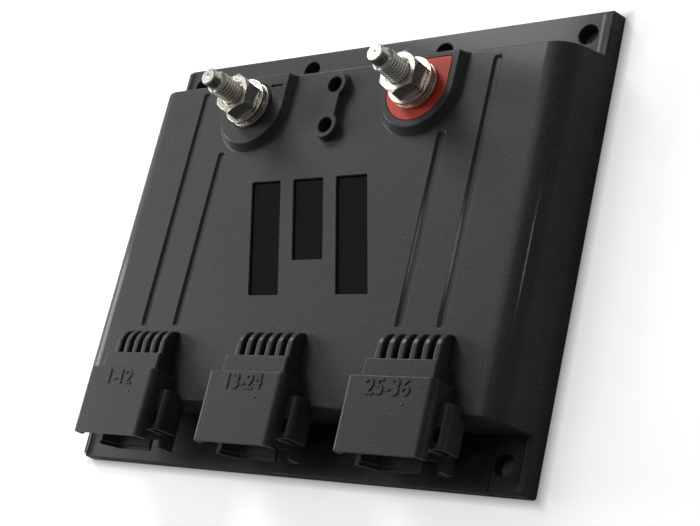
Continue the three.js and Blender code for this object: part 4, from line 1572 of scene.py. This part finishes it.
@dataclass
class Electronics:
    """The circuit board under the cover, with what stands on it."""

    shop: Workshop
    housing: Housing
    low: float = 3.1
    high: float = 4.7
    transistor_x: tuple[float, ...] = (-62, -40, -18, 18, 40, 62)
    capacitor_x: tuple[float, ...] = (-66, -54, 54, 66)
    processor_y: float = 38
    processor_clear: float = 14

    def board(self) -> None:
        """The board, its screws, its pad and its small parts."""
        outline = rectangle((-77, 77), (-49.6, 50.8), 2)
        holes = [Solid.rod(1.7, 2, 6, x, y, 24) for x, y in self.housing.board_screws]
        board = Solid.loft(outline, soft_ends(self.low, self.high, 0.08, 0.08)).cut(*holes)
        under, over = self.high - 0.1, self.high + 0.07
        tracks = [Solid.block((x - 1.6, -29, under), (x + 1.6, 8, over)) for x in self.transistor_x]
        tracks += [Solid.block((-68, y, under), (68, y + 1.2, over)) for y in (8, 20, 24)]
        place("laminate_board", [board, *tracks], LAMINATE, replaces=["circuit_board"])
        pad = Solid.block((-64, -44, 1.55), (64, 30, 3.05), 0.3)
        place("heat_pad", [pad], PAD_RUBBER, replaces=["thermal_pad"])
        spots = [(x, y, 1.75) for x, y in self.housing.board_screws]
        screw = Back(self.shop, self.housing).screw(3.0, 1.3, 9.0)
        screws = self.shop.scatter.scattered(screw, spots, math.tau, 3, SCREW_STEEL.material())
        place("board_screws", [screws], SCREW_STEEL,
              replaces=[f"board_screw_{i + 1}" for i in range(len(spots))])
        chip = Solid.block((-1.0, -0.6, 0), (1.0, 0.6, 0.7), 0.12)
        columns = [(i, -44 + 8 * i) for i in range(12)]
        spots = [(x, 15 + 9 * j + (i % 3), self.high) for i, x in columns for j in range(2)
                 if abs(x) > self.processor_clear]
        chips = self.shop.scatter.scattered(chip, spots, 0.0, 5, EPOXY.material())
        place("board_small_parts", [chips], EPOXY)

    def packages(self) -> None:
        """Six power transistors with legs, four capacitors and a processor with its pins."""
        floor = self.high + 0.05
        for i, x in enumerate(self.transistor_x):
            body = Solid.block((x - 5, -40, floor), (x + 5, -30, self.high + 4.5), 0.4)
            dent = Solid.drill(1.2, self.high + 4.1, self.high + 4.5, x, -33, 0.1)
            leg = Solid.block((-0.45, -42, floor), (0.45, -39.5, floor + 0.7), 0.1)
            legs = self.shop.row.row(leg, 3, (x - 3, 0, 0), (3, 0, 0), EPOXY.material())
            place(f"transistor_package_{i + 1}", [body.cut(dent), legs], EPOXY,
                  replaces=[f"power_transistor_{i + 1}"])
        for i, x in enumerate(self.capacitor_x):
            top = self.high + 10
            steps = [(0, floor), (4.5, floor), (4.6, floor + 0.3), (4.6, floor + 1.4), (4.2, floor + 1.8),
                     (4.6, floor + 2.2), (4.6, top - 0.5), (4.3, top - 0.1), (3.9, top), (3.7, top - 0.2),
                     (0, top - 0.2)]
            can = Solid.turned(steps, x, 12, 40)
            score = [Solid.block((x - 3, 11.85, top - 0.5), (x + 3, 12.15, top + 1)),
                     Solid.block((x - 0.15, 9, top - 0.5), (x + 0.15, 15, top + 1))]
            place(f"capacitor_can_{i + 1}", [can.cut(*score)], CAN, replaces=[f"capacitor_{i + 1}"])
        middle, half = self.processor_y, 7
        chip = Solid.block((-half, middle - half, floor + 0.15), (half, middle + half, self.high + 1.5), 0.15)
        dot = Solid.drill(0.5, self.high + 1.3, self.high + 1.5, -5.5, 32.5, 0.05)
        solids = [chip.cut(dot)]
        for side in (-1, 1):
            reach, first = side * (half + 0.4), -5.5
            for (x, y), start, step in (((0.5, 0.2), (reach, middle + first, 0), (0, 1.0, 0)),
                                        ((0.2, 0.5), (first, middle + reach, 0), (1.0, 0, 0))):
                pin = Solid.block((-x, -y, floor), (x, y, floor + 0.5), 0.06)
                solids.append(self.shop.row.row(pin, 12, start, step, EPOXY.material()))
        place("processor_package", solids, EPOXY, replaces=["processor"])

    def build(self) -> None:
        """Makes the board and everything on it."""
        self.board()
        self.packages()


# ------------------------------------------------------------------ studio


@dataclass(frozen=True)
class Softbox:
    """A rectangular studio light aimed at the module, with one pair of edges along the module's height."""

    name: str
    spot: Spot
    size: Point
    power: float
    aim: Spot = (0.0, 0.02, 0.01)

    def build(self) -> None:
        """Hangs the light."""
        data = bpy.data.lights.new(self.name, "AREA")
        data.shape, data.size, data.size_y, data.energy = "RECTANGLE", *self.size, self.power
        lamp = linked(self.name, data)
        back = (Vector(self.spot) - Vector(self.aim)).normalized()
        tall = Vector((0, 1, 0))
        tall = (tall - back * tall.dot(back)).normalized()
        turn = Matrix((tall.cross(back), tall, back)).transposed().to_4x4()
        lamp.matrix_world = Matrix.Translation(self.spot) @ turn


@dataclass
class Studio:
    """A pale floor, soft lights and the camera."""

    camera_spot: Spot = (0.31179, -0.14682, 0.34282)
    forward: Spot = (-0.63588, 0.29822, -0.71184)
    up: Spot = (0.02181, 0.92891, 0.36967)
    lens: float = 76.01
    # half size of the module's footprint, where the floor gets its painted shade
    shaded: Point = (0.0923, 0.0755)
    # grey of the floor under the module: painted shade, seen through the flange's holes
    shade: float = 0.4
    glow: float = 0.62
    surround: float = 0.03
    surround_seen: tuple[tuple[str, float], ...] = (("Is Glossy Ray", 0.11), ("Is Camera Ray", 0.9))
    lights: tuple[Softbox, ...] = (
        Softbox("key_softbox", (-0.70, 0.82, 0.70), (0.55, 0.46), 8.6),
        Softbox("left_softbox", (-1.1, 0.07, 0.44), (0.5, 0.45), 7.0),
        Softbox("front_softbox", (-0.8, -0.6, 0.8), (0.22, 0.22), 0.75),
        Softbox("top_softbox", (-0.2, 0.3, 1.2), (0.6, 0.6), 1.0),
        Softbox("right_softbox", (1.0, -0.1, 0.25), (0.5, 0.4), 0.1),
        Softbox("rim_softbox", (0.7, 0.85, 0.35), (0.3, 0.3), 0.4),
        Softbox("edge_softbox", (0.85, 0.36, 0.76), (0.08, 0.08), 0.25),
    )

    def floor(self) -> None:
        """A wide pale floor that the module lies on."""
        bm = bmesh.new()
        bmesh.ops.create_grid(bm, x_segments=8, y_segments=8, size=4.0)
        mesh = bpy.data.meshes.new("studio_floor")
        bm.to_mesh(mesh)
        bm.free()
        mesh.transform(Matrix.Translation((0, 0, -0.0002)))
        mesh.materials.append(self.floor_material())
        linked("studio_floor", mesh)

    def floor_material(self) -> bpy.types.Material:
        """A pale floor that glows a little to the camera, but is dimmer under the module: there it has a
        painted shade of darker grey, without the glow.

        Returns:
            The material.
        """
        material = bpy.data.materials.new("pale_floor")
        material.use_nodes = True
        graph = Graph(material.node_tree)
        place = graph.add("ShaderNodeTexCoord").outputs["Object"]
        apart = graph.feed(graph.add("ShaderNodeVectorMath", operation="ABSOLUTE"), {0: place})
        scale = (1 / self.shaded[0], 1 / self.shaded[1], 0)
        sides = graph.feed(graph.add("ShaderNodeMapping"), {"Scale": scale, "Vector": apart.outputs[0]})
        split = graph.feed(graph.add("ShaderNodeSeparateXYZ"), {0: sides.outputs[0]}).outputs
        outside = graph.ramp(graph.math("MAXIMUM", split["X"], split["Y"]), 0.97, 1.04)
        noise = graph.feed(graph.add("ShaderNodeTexNoise"), {"Scale": 3.0, "Vector": place})
        pale = graph.blend(noise.outputs["Fac"], (0.90, 0.90, 0.90, 1), (0.93, 0.93, 0.93, 1))
        seen = graph.add("ShaderNodeLightPath").outputs["Is Camera Ray"]
        glow = graph.math("MULTIPLY", outside, self.glow)
        graph.feed(material.node_tree.nodes["Principled BSDF"], {
            # under the module the base colour falls to the painted shade grey
            "Base Color": graph.blend(outside, (self.shade, self.shade, self.shade, 1), pale),
            "Roughness": 0.9,
            "Specular IOR Level": 0.1,
            "Emission Color": (1, 1, 1, 1),
            "Emission Strength": graph.math("MULTIPLY", seen, glow)})
        return material

    def world(self) -> None:
        """An even surround: dim as a light, but pale to the camera."""
        world = bpy.data.worlds.new("surround")
        world.use_nodes = True
        graph = Graph(world.node_tree)
        rays = graph.add("ShaderNodeLightPath").outputs
        parts = [(rays[label], weight) for label, weight in self.surround_seen]
        graph.feed(world.node_tree.nodes["Background"], {
            "Color": (1, 1, 1, 1), "Strength": graph.total(*parts, start=self.surround)})
        bpy.context.scene.world = world
        bpy.context.scene.view_settings.view_transform = "Standard"

    def camera(self) -> None:
        """The camera, at the angle from which the module is usually seen."""
        data = bpy.data.cameras.new("view")
        data.lens, data.sensor_width, data.clip_start = self.lens, 36.0, 0.01
        camera = linked("view", data)
        forward, up = Vector(self.forward).normalized(), Vector(self.up)
        right = forward.cross(up).normalized()
        up = right.cross(forward)
        turn = Matrix((right, up, -forward)).transposed().to_4x4()
        camera.matrix_world = Matrix.Translation(self.camera_spot) @ turn
        bpy.context.scene.camera = camera

    def build(self) -> None:
        """Sets up the floor, the surround, the lights and the camera."""
        self.floor()
        self.world()
        for light in self.lights:
            light.build()
        self.camera()


# ------------------------------------------------------------------ assembly


def main() -> None:
    """Builds every sub-assembly round the frame."""
    logging.basicConfig(level=logging.INFO, format="%(name)s: %(message)s")
    Effects.prepare()
    shop, housing = Workshop(), Housing()
    housing.build()
    StatusWindows(shop, housing).build()
    for pole in Pole:
        Terminal(shop, housing, pole).build()
    for i, marking in enumerate(("1-12", "13-24", "25-36")):
        Port(shop, housing, i + 1, marking).build()
    Back(shop, housing).build()
    Electronics(shop, housing).build()
    Studio().build()


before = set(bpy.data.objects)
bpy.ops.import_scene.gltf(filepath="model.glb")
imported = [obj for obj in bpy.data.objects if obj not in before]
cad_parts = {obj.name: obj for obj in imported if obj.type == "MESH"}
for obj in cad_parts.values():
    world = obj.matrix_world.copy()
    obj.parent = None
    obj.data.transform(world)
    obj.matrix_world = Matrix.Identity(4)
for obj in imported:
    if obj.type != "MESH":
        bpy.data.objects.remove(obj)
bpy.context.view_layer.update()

if __name__ == "__main__":
    main()
